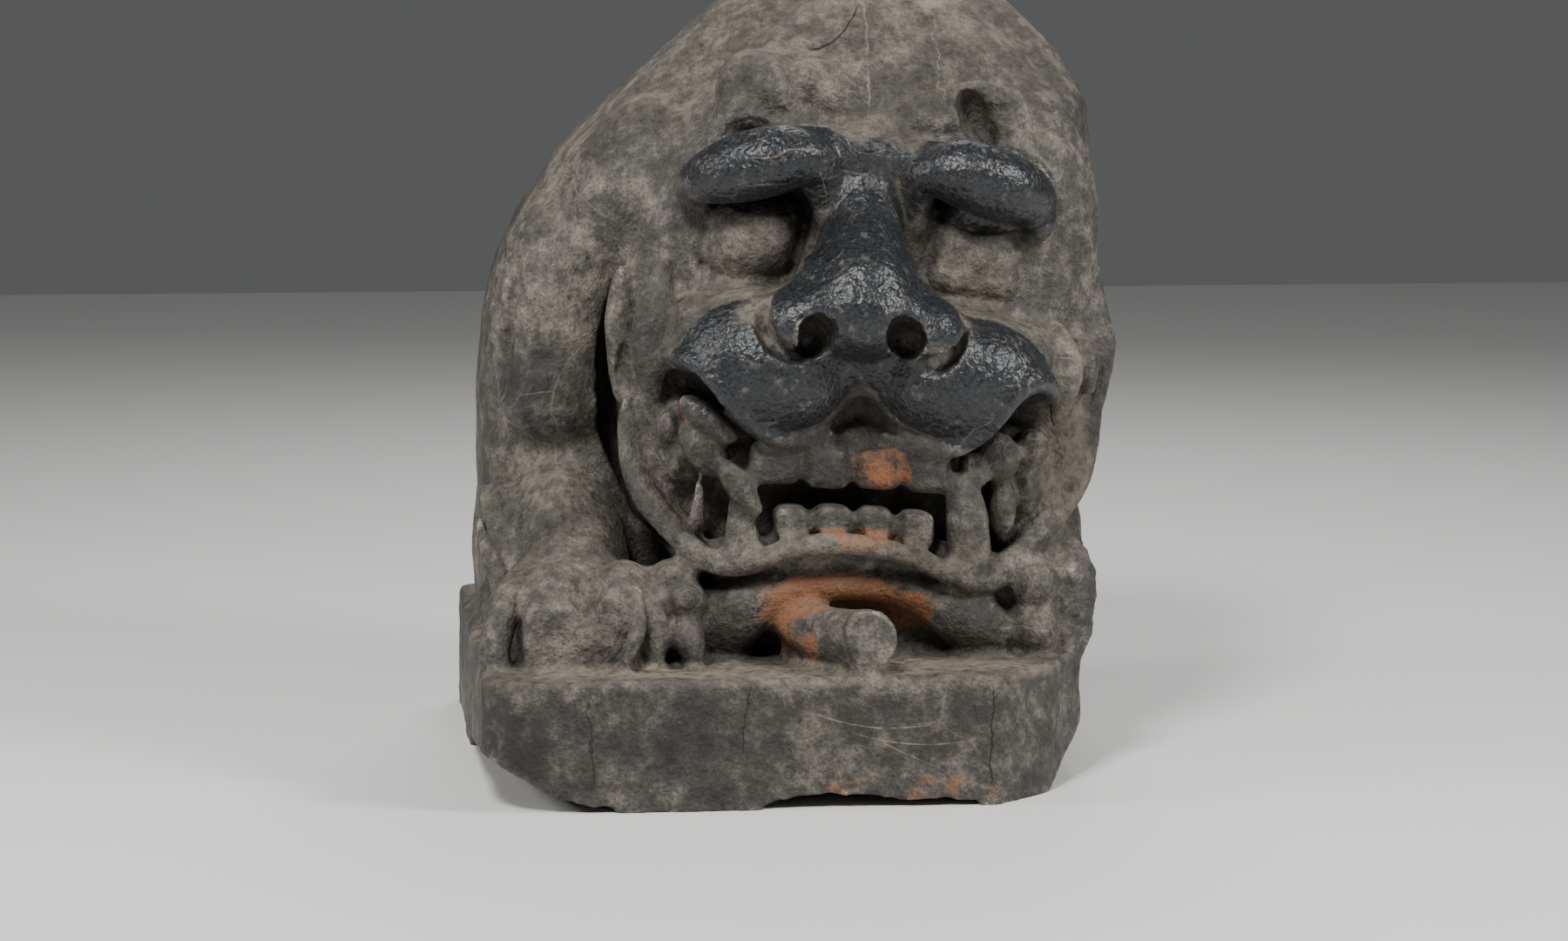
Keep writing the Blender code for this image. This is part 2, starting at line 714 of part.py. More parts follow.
def teeth():
    """Four square front teeth above and below, the fangs, the side teeth and the gums."""
    upper_row = ((-11.5, 27.4, 6.9, 6.2), (-3.9, 26.9, 6.9, 5.8), (3.1, 27.1, 6.5, 5.8), (10.0, 27.0, 6.5, 6.0))
    lower_row = ((-8.9, 19.0, 5.2, 5.0), (-3.1, 19.4, 5.6, 4.8), (2.8, 19.4, 5.4, 4.8), (8.6, 18.8, 5.4, 5.4))
    upper = [block((x, -30.6, z), (wide, 6, high), 1.5) for x, z, wide, high in upper_row]
    lower = [block((x, -31.2, z), (wide, 6, high), 1.5) for x, z, wide, high in lower_row]
    fangs = [
        rope([(16.2, -31.0, 13.8), (15.8, -32.6, 18.0), (15.4, -32.8, 22.5), (15.0, -31.0, 26.5)], [3.1, 3.1, 3.0, 1.8]),
        ball((15.4, -31.6, 14.4), (3.9, 3.2, 2.2)),
        ball((-16.2, -32.2, 23.6), (2.0, 2.2, 4.8), (0, -34, 0)),
        rope([(-15.4, -30.5, 14.2), (-15.9, -31.5, 17.7), (-16.9, -31.0, 22.2)], [3.2, 2.6, 0.7]),
        ball((-15.3, -31.4, 14.6), (3.6, 3.2, 2.0)),
        rope([(-21.8, -26.0, 16.6), (-21.5, -27.0, 21.0), (-21.3, -26.8, 25.2)], [1.4, 1.3, 0.4]),
    ]
    side_teeth = [
        ball((-20.4, -30.4, 33.0), (5.0, 2.6, 2.1), (0, 36, 0)),
        ball((-20.9, -28.6, 28.6), (4.8, 3.0, 2.9), (0, 52, 0)),
        ball((-22.5, -22.4, 29), (5, 3.6, 7)),
        ball((23.5, -23.0, 26), (5.5, 4.0, 7)),
        ball((-25.6, -24.6, 30.6), (1.4, 2.4, 2.8)),
        ball((-24.7, -24.6, 25.8), (1.3, 2.2, 2.4)),
        block((16.9, -30.2, 27.4), (4.2, 5, 4.4), 1.4),
        ball((20.6, -29.6, 29.2), (2.9, 3.2, 3.4)),
        ball((25.8, -26.6, 30.4), (2.6, 3.2, 2.8)),
        ball((21.2, -28.4, 22.2), (2.1, 2.6, 4.4)),
        ball((25.0, -25.6, 24), (1.9, 2.4, 3.6)),
    ]
    gums = [
        rope([(-18, -25, 31.6), (-8, -28, 30.2), (0, -28.6, 30.4), (8, -28, 30.2), (18, -25, 31.6)], [2.6] * 5),
        rope([(-20, -27, 13.0), (-9, -30, 15), (0, -30.6, 16.4), (9, -30, 15), (20, -27, 13.0)], [2.6] * 5),
        rope([(22, -24, 15.5), (27, -22.5, 20), (31, -21, 26)], [2.4, 2.2, 2.0]),
        rope([(-22, -25, 14.5), (-26.5, -22.6, 19), (-29, -21, 26)], [2.4, 2.0, 1.8]),
    ]
    return upper + lower + fangs + side_teeth + gums


def beard_stub():
    """The broken stump of a beard or tongue under the chin, and the web of stone below it."""
    return [
        rope(
            [(-12.0, -27, 6.4), (-8.6, -30.5, 5.0), (-5.0, -35, 4.0), (-1.4, -40, 4.0), (0.4, -43, 5.2), (0.8, -45.8, 5.6)],
            [2.2, 3.6, 4.2, 4.3, 3.9, 3.9],
        ),
        rope([(-8.4, -29, 1.6), (-4.4, -35, 0.6), (0.2, -40.5, 0.8), (0.9, -45.4, 1.9)], [3.0, 3.4, 3.2, 2.6]),
    ]


def underside_cutters():
    """The worn lower corners and the shallow recesses under the front edge."""
    cutters = [
        block((-43.8, -25, -19.9), (30, 56, 14), 1.5, (-7, 32.7, 0)),
        block((-31.7, -38, -24.2), (14, 24, 14), 1.0, (-6, 10, 0)),
        block((48.4, -25, -16.9), (14, 90, 30), 1.0, (0, 30, -9)),
    ]
    for x, width, height in RECESSES:
        bpy.ops.mesh.primitive_uv_sphere_add(segments=BALL_SEGMENTS, ring_count=BALL_RINGS, radius=1)
        cutter = bpy.context.object
        radii = Matrix.Diagonal((width / 2, RECESS_DEPTH, height, 1))
        cutter.data.transform(Matrix.Translation((x, -PLINTH_DEPTH / 2, 0)) @ radii)
        cutters.append(cutter)
    return cutters


def level_foot(lion, below):
    """Cut everything below the plinth's underside away, so that the block stands on a true plane."""
    bpy.ops.mesh.primitive_cube_add(size=1)
    ground = bpy.context.object
    ground.name = "ground_cutter"
    ground.data.transform(Matrix.Translation((0, 0, -0.5)) @ Matrix.Diagonal((3, 3, 1, 1)))
    ground.hide_render = True
    ground.display_type = "WIRE"
    for owner in list(ground.users_collection):
        owner.objects.unlink(ground)
    below.objects.link(ground)
    cut = lion.modifiers.new("level foot", "BOOLEAN")
    cut.operation = "DIFFERENCE"
    cut.object = ground


def stone():
    """Dark grey limestone with a dull hand-rubbed shine."""
    made = bpy.data.materials.new("limestone")
    made.use_nodes = True
    shader = made.node_tree.nodes["Principled BSDF"]
    shader.inputs["Base Color"].default_value = (0.085, 0.078, 0.068, 1)
    shader.inputs["Roughness"].default_value = 0.6
    shader.inputs["Metallic"].default_value = 0.0
    return made


def main():
    """Build the lion and its plinth as one solid."""
    clear_scene()
    carving = new_collection("guardian_lion")
    cutters = new_collection("cutters")

    rough = plinth() + body() + tail() + left_foreleg() + right_foreleg()
    rough += leaned(head_core() + muzzle() + nose())
    clay = fuse(rough, ROUGH_VOXEL, ROUGH_SMOOTHING)
    recesses = leaned(socket_cutters() + [mouth_cutter(), chin_cutter()])
    clay = hollow(clay, recesses + [cheek_cutter()])

    fine = leaned(brows() + eyes() + lips() + cheek_flaps() + side_ears() + crown_curls() + teeth() + beard_stub())
    fine += left_toes() + elbow_tufts() + right_toes() + plinth()
    clay = fuse([clay] + fine, FINE_VOXEL, FINE_SMOOTHING)
    clay = hollow(clay, leaned(nostril_cutters() + nose_hollows() + curl_break()) + underside_cutters())

    lion = fuse([clay], FINE_VOXEL, FINE_SMOOTHING)
    lion.name = "guardian_lion"
    lion.data.name = "guardian_lion"
    bpy.context.scene.collection.objects.unlink(lion)
    carving.objects.link(lion)
    lion.data.materials.clear()
    lion.data.materials.append(stone())
    lion.data.shade_smooth()
    triangles = sum(len(face.vertices) - 2 for face in lion.data.polygons)
    thin = lion.modifiers.new("facets", "DECIMATE")
    thin.ratio = TRIANGLES / triangles
    level_foot(lion, cutters)


main()
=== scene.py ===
"""A crouching guardian lion of dark limestone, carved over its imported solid.

The lion is laid out on a carver's grid: x runs to the right of a person who faces it, y runs away from that
person and z rises from the plinth's top. Its masses are joined as clay, fused by a voxel remesh, hollowed,
fused with the finer masses, worn, and dressed with one stone finish.
"""

import logging
import math
from dataclasses import dataclass, field
from enum import Enum
from typing import Callable, Iterable, Sequence

import bmesh
import bpy
import numpy as np
from mathutils import Matrix, Vector, noise
from mathutils.bvhtree import BVHTree


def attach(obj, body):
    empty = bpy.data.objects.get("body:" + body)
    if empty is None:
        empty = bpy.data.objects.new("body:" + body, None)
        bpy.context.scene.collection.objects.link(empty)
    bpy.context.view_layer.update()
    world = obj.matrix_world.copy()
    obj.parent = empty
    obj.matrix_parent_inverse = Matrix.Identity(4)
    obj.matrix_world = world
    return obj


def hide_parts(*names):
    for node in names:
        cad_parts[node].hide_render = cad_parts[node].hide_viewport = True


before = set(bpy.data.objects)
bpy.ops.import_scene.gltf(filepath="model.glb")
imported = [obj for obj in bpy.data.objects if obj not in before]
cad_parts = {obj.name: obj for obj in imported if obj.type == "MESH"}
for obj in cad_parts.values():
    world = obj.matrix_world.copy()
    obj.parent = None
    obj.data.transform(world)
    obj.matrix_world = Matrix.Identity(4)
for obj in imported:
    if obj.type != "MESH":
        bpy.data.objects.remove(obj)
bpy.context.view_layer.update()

LOG = logging.getLogger("guardian_lion")

Point = tuple[float, float, float]


def smooth_step(low: float, high: float, value: np.ndarray | float) -> np.ndarray | float:
    """Rise smoothly from 0 at low to 1 at high.

    Args:
        low: Where the rise starts.
        high: Where the rise ends.
        value: The numbers to judge.

    Returns:
        The share risen, from 0 to 1, in value's own form.
    """
    t = np.clip((value - low) / (high - low), 0.0, 1.0)
    return t * t * (3 - 2 * t)


@dataclass(frozen=True)
class CarversGrid:
    """The carver's grid, whose square is a hundredth of the lion's height, and the lean of the head."""

    lion_height: float = 0.825
    plinth_height: float = 0.15
    head_x: float = 10.7
    head_drift: float = 4.1
    drift_rise: tuple[float, float] = (50, 72)
    jaw_roll: float = 3.0
    brow_roll: float = 6.3
    roll_rise: tuple[float, float] = (42, 56)

    @property
    def square(self) -> float:
        """The side of one square, in metres."""
        return self.lion_height / 100

    def at(self, x: float, y: float, z: float) -> Vector:
        """A grid point in metres."""
        return Vector((x * self.square, y * self.square, self.plinth_height + z * self.square))

    def slope(self, up: np.ndarray | float) -> np.ndarray | float:
        """How far the head falls to the right, for each square across, at a height in squares."""
        degrees = self.jaw_roll + (self.brow_roll - self.jaw_roll) * smooth_step(*self.roll_rise, up)
        return np.tan(np.radians(degrees))

    def drift(self, up: np.ndarray | float) -> np.ndarray | float:
        """How far the head stands to the right of the grid's middle, in squares."""
        return self.head_x + self.head_drift * smooth_step(*self.drift_rise, up)

    def lean(self, point: Vector) -> Vector:
        """Carry a point of the upright head, in metres, to the tipped head."""
        up = (point.z - self.plinth_height) / self.square
        return Vector((point.x + self.drift(up) * self.square, point.y, point.z - point.x * self.slope(up)))

    def squares(self, points: np.ndarray) -> np.ndarray:
        """Points in metres, as grid squares."""
        return (points - (0, 0, self.plinth_height)) / self.square

    def upright(self, squares: np.ndarray) -> np.ndarray:
        """Carry points of the tipped head, in squares, back to the upright head.

        Args:
            squares: An array of points, one a row.

        Returns:
            An array of the same shape.
        """
        up = squares[:, 2].copy()
        for _ in range(6):
            across = squares[:, 0] - self.drift(up)
            up = squares[:, 2] + across * self.slope(up)
        return np.column_stack((across, squares[:, 1], up))


GRID = CarversGrid()


def to_object(shape: bmesh.types.BMesh, name: str) -> bpy.types.Object:
    """Put a finished bmesh into the scene as an object at the origin, and free it."""
    mesh = bpy.data.meshes.new(name)
    shape.to_mesh(mesh)
    shape.free()
    made = bpy.data.objects.new(name, mesh)
    bpy.context.scene.collection.objects.link(made)
    return made


def settled(source: bpy.types.Object) -> bmesh.types.BMesh:
    """Take an object's final mesh, with its modifiers and place applied, and remove the object.

    Args:
        source: A mesh or curve object.

    Returns:
        The shape as a bmesh with welded points and outward faces.
    """
    bpy.context.view_layer.update()
    graph = bpy.context.evaluated_depsgraph_get()
    mesh = bpy.data.meshes.new_from_object(source.evaluated_get(graph))
    shape = bmesh.new()
    shape.from_mesh(mesh)
    bmesh.ops.transform(shape, matrix=source.matrix_world, verts=shape.verts)
    bmesh.ops.remove_doubles(shape, verts=shape.verts, dist=0.00005)
    bmesh.ops.recalc_face_normals(shape, faces=shape.faces)
    bpy.data.meshes.remove(mesh)
    bpy.data.objects.remove(source)
    return shape


def turned(degrees: Point) -> Matrix:
    """A turn about x, then y, then z."""
    about_x, about_y, about_z = (
        Matrix.Rotation(math.radians(angle), 4, axis) for angle, axis in zip(degrees, "XYZ")
    )
    return about_z @ about_y @ about_x


def rounded(shape: bmesh.types.BMesh, offset: float, segments: int) -> None:
    """Round all the edges of a shape.

    Args:
        shape: The shape, which is changed.
        offset: How far the rounding reaches from each edge, in metres.
        segments: How many faces go round each edge.
    """
    bmesh.ops.bevel(
        shape, geom=shape.edges[:], offset=offset, offset_type="OFFSET", segments=segments, profile=0.5,
        affect="EDGES", clamp_overlap=True, material=-1,
    )


def prism(corners: Iterable[Sequence[float]], travel: Point) -> bmesh.types.BMesh:
    """A face through corners, drawn out along a travel.

    Args:
        corners: The face's corners in metres.
        travel: How far the face is drawn out, in metres.

    Returns:
        The closed prism.
    """
    made = bmesh.new()
    face = made.faces.new([made.verts.new(corner) for corner in corners])
    drawn = bmesh.ops.extrude_face_region(made, geom=[face])["geom"]
    moved = [item for item in drawn if isinstance(item, bmesh.types.BMVert)]
    bmesh.ops.translate(made, verts=moved, vec=travel)
    bmesh.ops.recalc_face_normals(made, faces=made.faces)
    return made


@dataclass(frozen=True)
class Ball:
    """An ellipsoid: centre and radii in squares, turn in degrees."""

    centre: Point
    radii: Point
    turn: Point = (0, 0, 0)

    def shape(self) -> bmesh.types.BMesh:
        """The ellipsoid as a bmesh in metres."""
        made = bmesh.new()
        bmesh.ops.create_uvsphere(made, u_segments=32, v_segments=20, radius=GRID.square)
        place = Matrix.Translation(GRID.at(*self.centre)) @ turned(self.turn)
        bmesh.ops.transform(made, matrix=place @ Matrix.Diagonal((*self.radii, 1)), verts=made.verts)
        return made


@dataclass(frozen=True)
class Block:
    """A box with rounded edges: centre, size and rounding in squares, turn in degrees."""

    centre: Point
    size: Point
    rounding: float
    turn: Point = (0, 0, 0)

    def shape(self) -> bmesh.types.BMesh:
        """The block as a bmesh in metres."""
        made = bmesh.new()
        bmesh.ops.create_cube(made, size=GRID.square)
        bmesh.ops.scale(made, vec=self.size, verts=made.verts)
        rounded(made, self.rounding * GRID.square, 4)
        place = Matrix.Translation(GRID.at(*self.centre)) @ turned(self.turn)
        bmesh.ops.transform(made, matrix=place, verts=made.verts)
        return made


@dataclass(frozen=True)
class Rope:
    """A round bar through points, with a radius at each, in squares."""

    points: tuple[Point, ...]
    radii: tuple[float, ...]

    def shape(self) -> bmesh.types.BMesh:
        """The bar as a bmesh in metres, swept along a smooth curve."""
        curve = bpy.data.curves.new("rope", "CURVE")
        curve.dimensions = "3D"
        curve.bevel_depth = 1.0
        curve.bevel_resolution = 5
        curve.use_fill_caps = True
        curve.resolution_u = 6
        spline = curve.splines.new("NURBS")
        spline.points.add(len(self.points) - 1)
        for knot, point, radius in zip(spline.points, self.points, self.radii):
            knot.co = (*GRID.at(*point), 1)
            knot.radius = radius * GRID.square
        spline.order_u = 3
        spline.use_endpoint_u = True
        bar = bpy.data.objects.new("rope", curve)
        bpy.context.scene.collection.objects.link(bar)
        return settled(bar)


@dataclass(frozen=True)
class Loft:
    """A form through level superellipses, each (z, left, right, front, back) in squares.

    A power of 2 makes ellipses, and a higher power makes them boxier.
    """

    sections: tuple[tuple[float, float, float, float, float], ...]
    power: float
    ring_points: int = 64

    def shape(self) -> bmesh.types.BMesh:
        """The loft as a bmesh in metres: one ring for each section, drawn to its outline."""
        made = bmesh.new()
        bmesh.ops.create_circle(made, cap_ends=True, radius=1.0, segments=self.ring_points)
        ring = made.edges[:]
        for _ in self.sections[1:]:
            raised = bmesh.ops.extrude_edge_only(made, edges=ring)["geom"]
            ring = [item for item in raised if isinstance(item, bmesh.types.BMEdge)]
            ring = [edge for edge in ring if all(vert in raised for vert in edge.verts)]
            lifted = [item for item in raised if isinstance(item, bmesh.types.BMVert)]
            bmesh.ops.translate(made, verts=lifted, vec=(0, 0, 1))
        bmesh.ops.contextual_create(made, geom=ring)
        for vert in made.verts:
            z, left, right, front, back = self.sections[round(vert.co.z)]
            across, along = (math.copysign(abs(share) ** (2 / self.power), share) for share in vert.co.xy)
            x = (left + right) / 2 + across * (right - left) / 2
            y = (front + back) / 2 + along * (back - front) / 2
            vert.co = GRID.at(x, y, z)
        bmesh.ops.recalc_face_normals(made, faces=made.faces)
        return made


@dataclass(frozen=True)
class Plate:
    """An upright plate: (x, z) outline seen from the front, from depth front to depth back, in squares."""

    outline: tuple[tuple[float, float], ...]
    front: float
    back: float
    rounding: float

    def shape(self) -> bmesh.types.BMesh:
        """The plate as a bmesh in metres."""
        corners = [GRID.at(x, self.front, z) for x, z in self.outline]
        made = prism(corners, (0, (self.back - self.front) * GRID.square, 0))
        rounded(made, self.rounding * GRID.square, 3)
        return made


Mass = Ball | Block | Rope | Loft | Plate
Leaning = Callable[[Vector], Vector]


def moulded(masses: Iterable[Mass], leaning: Leaning | None = None) -> list[bmesh.types.BMesh]:
    """Shape masses, and carry them to the tipped head where a leaning is given.

    Args:
        masses: The masses to shape.
        leaning: What moves each point, or None for a mass that stands where the grid says.

    Returns:
        One bmesh for each mass.
    """
    shapes = [mass.shape() for mass in masses]
    if leaning:
        for shape in shapes:
            for vert in shape.verts:
                vert.co = leaning(vert.co)
    return shapes


def joined(shapes: Iterable[bmesh.types.BMesh]) -> bmesh.types.BMesh:
    """Gather shapes, which are used up, into one bmesh."""
    whole = bmesh.new()
    for shape in shapes:
        carrier = bpy.data.meshes.new("carrier")
        shape.to_mesh(carrier)
        shape.free()
        whole.from_mesh(carrier)
        bpy.data.meshes.remove(carrier)
    return whole


def fused(shapes: Iterable[bmesh.types.BMesh], voxel: float, smoothing: int) -> bmesh.types.BMesh:
    """Fuse overlapping shapes into one closed, smoothed skin.

    Args:
        shapes: Closed shapes, which are used up.
        voxel: The remesh's voxel, in metres.
        smoothing: How many times the skin is smoothed.

    Returns:
        The skin. The remesh is tried again with a slightly larger voxel while some edge does not join two
        faces, up to eight tries, and the last try is kept as it is.
    """
    tries, growth = 8, 0.012
    clay = to_object(joined(shapes), "clay")
    for attempt in range(tries):
        trial = clay.copy()
        bpy.context.scene.collection.objects.link(trial)
        remesh = trial.modifiers.new("remesh", "REMESH")
        remesh.mode = "VOXEL"
        remesh.voxel_size = voxel * (1 + growth * attempt)
        smooth = trial.modifiers.new("smooth", "SMOOTH")
        smooth.factor = 0.5
        smooth.iterations = smoothing
        skin = settled(trial)
        if all(edge.is_manifold for edge in skin.edges) or attempt == tries - 1:
            break
        skin.free()
    bpy.data.objects.remove(clay)
    return skin


def boolean(subject: bpy.types.Object, operation: str, other: bpy.types.Object) -> None:
    """Set one closed shape against another, with the manifold solver for its speed.

    Args:
        subject: The object that changes.
        operation: What is done with the other object.
        other: The other object.
    """
    step = subject.modifiers.new("boolean", "BOOLEAN")
    step.operation = operation
    step.solver = "MANIFOLD"
    step.object = other


def hollowed(skin: bmesh.types.BMesh, cutters: Sequence[bmesh.types.BMesh]) -> bmesh.types.BMesh:
    """Cut shapes away from a skin.

    Args:
        skin: The skin, which is used up.
        cutters: Closed shapes, which are used up.

    Returns:
        The skin with its hollows.
    """
    clay = to_object(skin, "clay")
    first, *others = [to_object(cutter, "cutter") for cutter in cutters]
    for other in others:
        boolean(first, "UNION", other)
    tool = to_object(settled(first), "cutter")
    boolean(clay, "DIFFERENCE", tool)
    made = settled(clay)
    for used in (tool, *others):
        bpy.data.objects.remove(used)
    return made


@dataclass(frozen=True)
class Plinth:
    """The slab that the lion crouches on. Sizes in metres, but the worn corners in squares."""

    width: float = 0.69
    bulge: float = 0.017
    depth: float = 0.76
    chamfer: tuple[float, float] = (0.105, 0.13)
    corner_round: float = 0.03
    arris_round: float = 0.008
    sunk: float = 0.012
    worn_corners: tuple[Block, ...] = (
        Block((-43.8, -25, -19.9), (30, 56, 14), 1.5, (-7, 32.7, 0)),
        Block((-31.7, -38, -24.2), (14, 24, 14), 1.0, (-6, 10, 0)),
        Block((48.4, -25, -16.9), (14, 90, 30), 1.0, (0, 30, -9)),
    )
    recesses: tuple[tuple[float, float, float], ...] = ((0.055, 0.17, 0.016), (0.165, 0.11, 0.009))
    recess_depth: float = 0.20

    def masses(self) -> list[bmesh.types.BMesh]:
        """The slab, with one front corner chamfered and one rounded."""
        half_width, half_depth = self.width / 2, self.depth / 2
        chamfer_x, chamfer_y = self.chamfer
        corners = (
            (-half_width + self.corner_round, -half_depth),
            (half_width - chamfer_x, -half_depth),
            (half_width - 0.35 * chamfer_x, -half_depth + 0.52 * chamfer_y),
            (half_width + self.bulge, -half_depth + 1.2 * chamfer_y),
            (half_width + self.bulge, 0.5 * half_depth),
            (half_width, half_depth - self.corner_round),
            (half_width - self.corner_round, half_depth),
            (-half_width + self.corner_round, half_depth),
            (-half_width - 0.7 * self.bulge, half_depth - self.corner_round),
            (-half_width, -half_depth + self.corner_round),
        )
        floor = [(x, y, -self.sunk) for x, y in reversed(corners)]
        slab = prism(floor, (0, 0, GRID.plinth_height + self.sunk))
        rounded(slab, self.arris_round, 3)
        return [slab]

    def losses(self) -> list[bmesh.types.BMesh]:
        """The shallow recesses under the front edge and the worn lower corners."""
        made = moulded(self.worn_corners)
        for x, wide, high in self.recesses:
            cutter = bmesh.new()
            bmesh.ops.create_uvsphere(cutter, u_segments=32, v_segments=20, radius=1)
            radii = Matrix.Diagonal((wide / 2, self.recess_depth, high, 1))
            place = Matrix.Translation((x, -self.depth / 2, 0)) @ radii
            bmesh.ops.transform(cutter, matrix=place, verts=cutter.verts)
            made.append(cutter)
        return made


@dataclass(frozen=True)
class Body:
    """The humped body, the haunches, the hind feet and the tail."""

    trunk: Loft = Loft(
        (
            (-3, -40, 42, -15, 40),
            (12, -40.5, 44, -15, 42),
            (24, -40.8, 46.5, -14, 42.5),
            (35, -40.8, 48, -13.5, 42),
            (45, -40, 48.5, -13.5, 41),
            (54, -37.8, 49.5, -14, 39),
            (62, -34, 50, -15, 37),
            (70, -28.4, 50, -15.5, 35),
            (77, -21.2, 49.4, -13.5, 32.5),
            (84, -13.4, 45.4, -9, 30),
            (91, -5.6, 38.6, -4, 26),
            (97, 3, 29.5, 3, 21),
            (100.4, 10, 20, 9, 15),
        ),
        3.2,
    )
    mane: Ball = Ball((-18, -5, 65), (9.5, 12, 15), (0, 28, 0))
    haunches: tuple[Ball, ...] = (Ball((-33, 22, 9), (8.6, 18, 20)), Ball((38, 22, 9), (9.4, 18, 20)))
    feet: tuple[Ball, ...] = (Ball((-34.5, 8, 3), (7, 14, 5)), Ball((36, 8, 3), (7, 14, 5)))
    tail_root: Rope = Rope(((2, 41, -3), (2, 44, 14), (5, 43.5, 34), (10, 40, 52)), (5, 4.6, 4.4, 4))

    def tail_curls(self) -> list[Rope]:
        """Three locks at the tail's end."""
        return [
            Rope(
                ((10, 40, 46), (10 + 7 * side, 40, 56), (10 + 9 * side, 36, 66), (10 + 4 * side, 33, 72)),
                (4, 4.5, 4, 2.5),
            )
            for side in (-1, 0, 1)
        ]

    def masses(self) -> list[Mass]:
        """Everything behind the head."""
        return [self.trunk, self.mane, *self.haunches, *self.feet, self.tail_root, *self.tail_curls()]


@dataclass(frozen=True)
class LeftForeleg:
    """The stretched foreleg at the viewer's left."""

    shoulder: Ball = Ball((-28, -2, 48), (11.4, 12.5, 18), (0, 10, 0))
    lump: Ball = Ball((-29.5, -7.5, 35.5), (8.5, 7.5, 7.5))
    forearm: Rope = Rope(
        ((-29, 3, 19.5), (-28.5, -8, 19.5), (-28, -17, 13), (-26.5, -26, 6)), (8.5, 8.5, 8.2, 7.2)
    )
    pad: Ball = Ball((-27, -23, 3), (12.5, 9, 7))
    web: Block = Block((-24, -24, 3.5), (27, 14, 11), 4.5)
    outer_toe: Rope = Rope(
        ((-32.5, -22, 13.5), (-37.6, -28.5, 10), (-39.4, -32, 5.5), (-39.8, -33.5, 0.5)), (2.0, 2.4, 2.3, 2.2)
    )
    broad_toe: tuple[Mass, ...] = (
        Block((-32.0, -32.2, 4.4), (7.6, 8, 9.6), 1.6),
        Ball((-31.3, -29, 9.6), (5.0, 5.6, 4.4)),
        Rope(((-27.6, -26, 11.6), (-27.1, -32, 9), (-27.2, -35, 4.4), (-27.3, -35, 0)), (1.8, 1.7, 1.5, 1.3)),
    )
    clawed_toe: tuple[Mass, ...] = (
        Block((-22.9, -33, 5.2), (5.4, 7.6, 10.8), 1.6),
        Ball((-21.6, -29, 10.4), (4.3, 5.4, 3.8)),
        Rope(
            ((-17.9, -27, 11.6), (-17.6, -32, 8.6), (-17.9, -34.6, 4.4), (-18.1, -34.6, 0)),
            (2.2, 2.5, 2.4, 2.0),
        ),
    )
    inner_toe: tuple[Mass, ...] = (
        Ball((-14.2, -28.6, 12.0), (3.5, 4.4, 2.4)),
        Ball((-13.2, -31, 8.6), (3.4, 4.4, 3.0)),
        Ball((-13.5, -34.6, 9.4), (1.9, 1.7, 1.8)),
        Block((-14.6, -28.6, 4.2), (8.4, 8, 11), 2.0),
    )
    claws: tuple[Rope, ...] = (
        Rope(
            (
                (-20.3, -34, 11.3), (-19.8, -37, 8.4), (-20.3, -38.6, 5.3), (-21.4, -39.2, 2.9),
                (-22.7, -39.4, 0.4),
            ),
            (0.8, 1.2, 1.3, 1.2, 0.7),
        ),
        Rope(
            ((-13.2, -32, 5.0), (-12.9, -34.6, 4.2), (-12.4, -36, 2.2), (-12.0, -36.4, 0.6)),
            (2.6, 2.6, 2.0, 1.0),
        ),
    )
    locks: tuple[Rope, ...] = (
        Rope(
            (
                (-38.6, -2, 23.4), (-37.4, -8, 21.6), (-36.2, -11.5, 18.6), (-35, -15, 15.8),
                (-33.4, -18, 13.6),
            ),
            (0.6, 1.5, 1.6, 1.5, 0.9),
        ),
        Rope(
            ((-40.4, -4, 21.4), (-39.6, -9, 19), (-38.4, -13, 15.6), (-36.8, -16.5, 12.8), (-35.6, -20, 10)),
            (0.8, 1.5, 1.7, 1.6, 0.9),
        ),
        Rope(((-41, -6, 17), (-40.2, -11, 13.6), (-38.8, -16, 9.8), (-38, -21, 6)), (0.8, 1.4, 1.5, 0.9)),
    )
    flank_grooves: tuple[Rope, ...] = (
        Rope(
            (
                (-34.2, -9, 63), (-35.6, -9.6, 54.6), (-36.4, -10.4, 47.2), (-37.2, -9.4, 39.5),
                (-37.5, -9, 33.3),
            ),
            (0.5, 0.9, 1.0, 0.9, 0.5),
        ),
        Rope(((-38.2, -8, 56), (-38.9, -8.4, 49), (-39.2, -8, 42)), (0.4, 0.9, 0.5)),
    )

    def masses(self) -> list[Mass]:
        """The shoulder, the lump over the elbow, the forearm and the paw's pad."""
        return [self.shoulder, self.lump, self.forearm, self.pad, self.web]

    def fine_masses(self) -> list[Mass]:
        """The toes, the claws and the wavy locks behind the forearm."""
        toes = [self.outer_toe, *self.broad_toe, *self.clawed_toe, *self.inner_toe]
        return [*toes, *self.claws, *self.locks]


@dataclass(frozen=True)
class RightForeleg:
    """The tucked paw at the viewer's right, beside the jaw."""

    arm: Ball = Ball((40, -10, 13), (6.5, 13, 13))
    wrist: Block = Block((37.2, -20, 6), (12, 14, 16), 3.5)
    side: Rope = Rope(
        ((41.6, -17, 13), (43, -22.6, 12), (43, -24.4, 7.5), (42.6, -23.4, 0)), (3.0, 3.6, 3.6, 3.2)
    )
    knuckle: Ball = Ball((36.6, -27.6, 9.9), (3.8, 4.8, 3.6))
    toe: Ball = Ball((36.4, -28.6, 3.4), (3.9, 4.8, 3.6))
    broken_toe: Block = Block((42.4, -22.5, 6), (5, 9, 13), 1.8, (0, 0, -12))

    def masses(self) -> list[Mass]:
        """The arm and the paw."""
        return [self.arm, self.wrist, self.side]

    def fine_masses(self) -> list[Mass]:
        """The toes."""
        return [self.knuckle, self.toe, self.broken_toe]


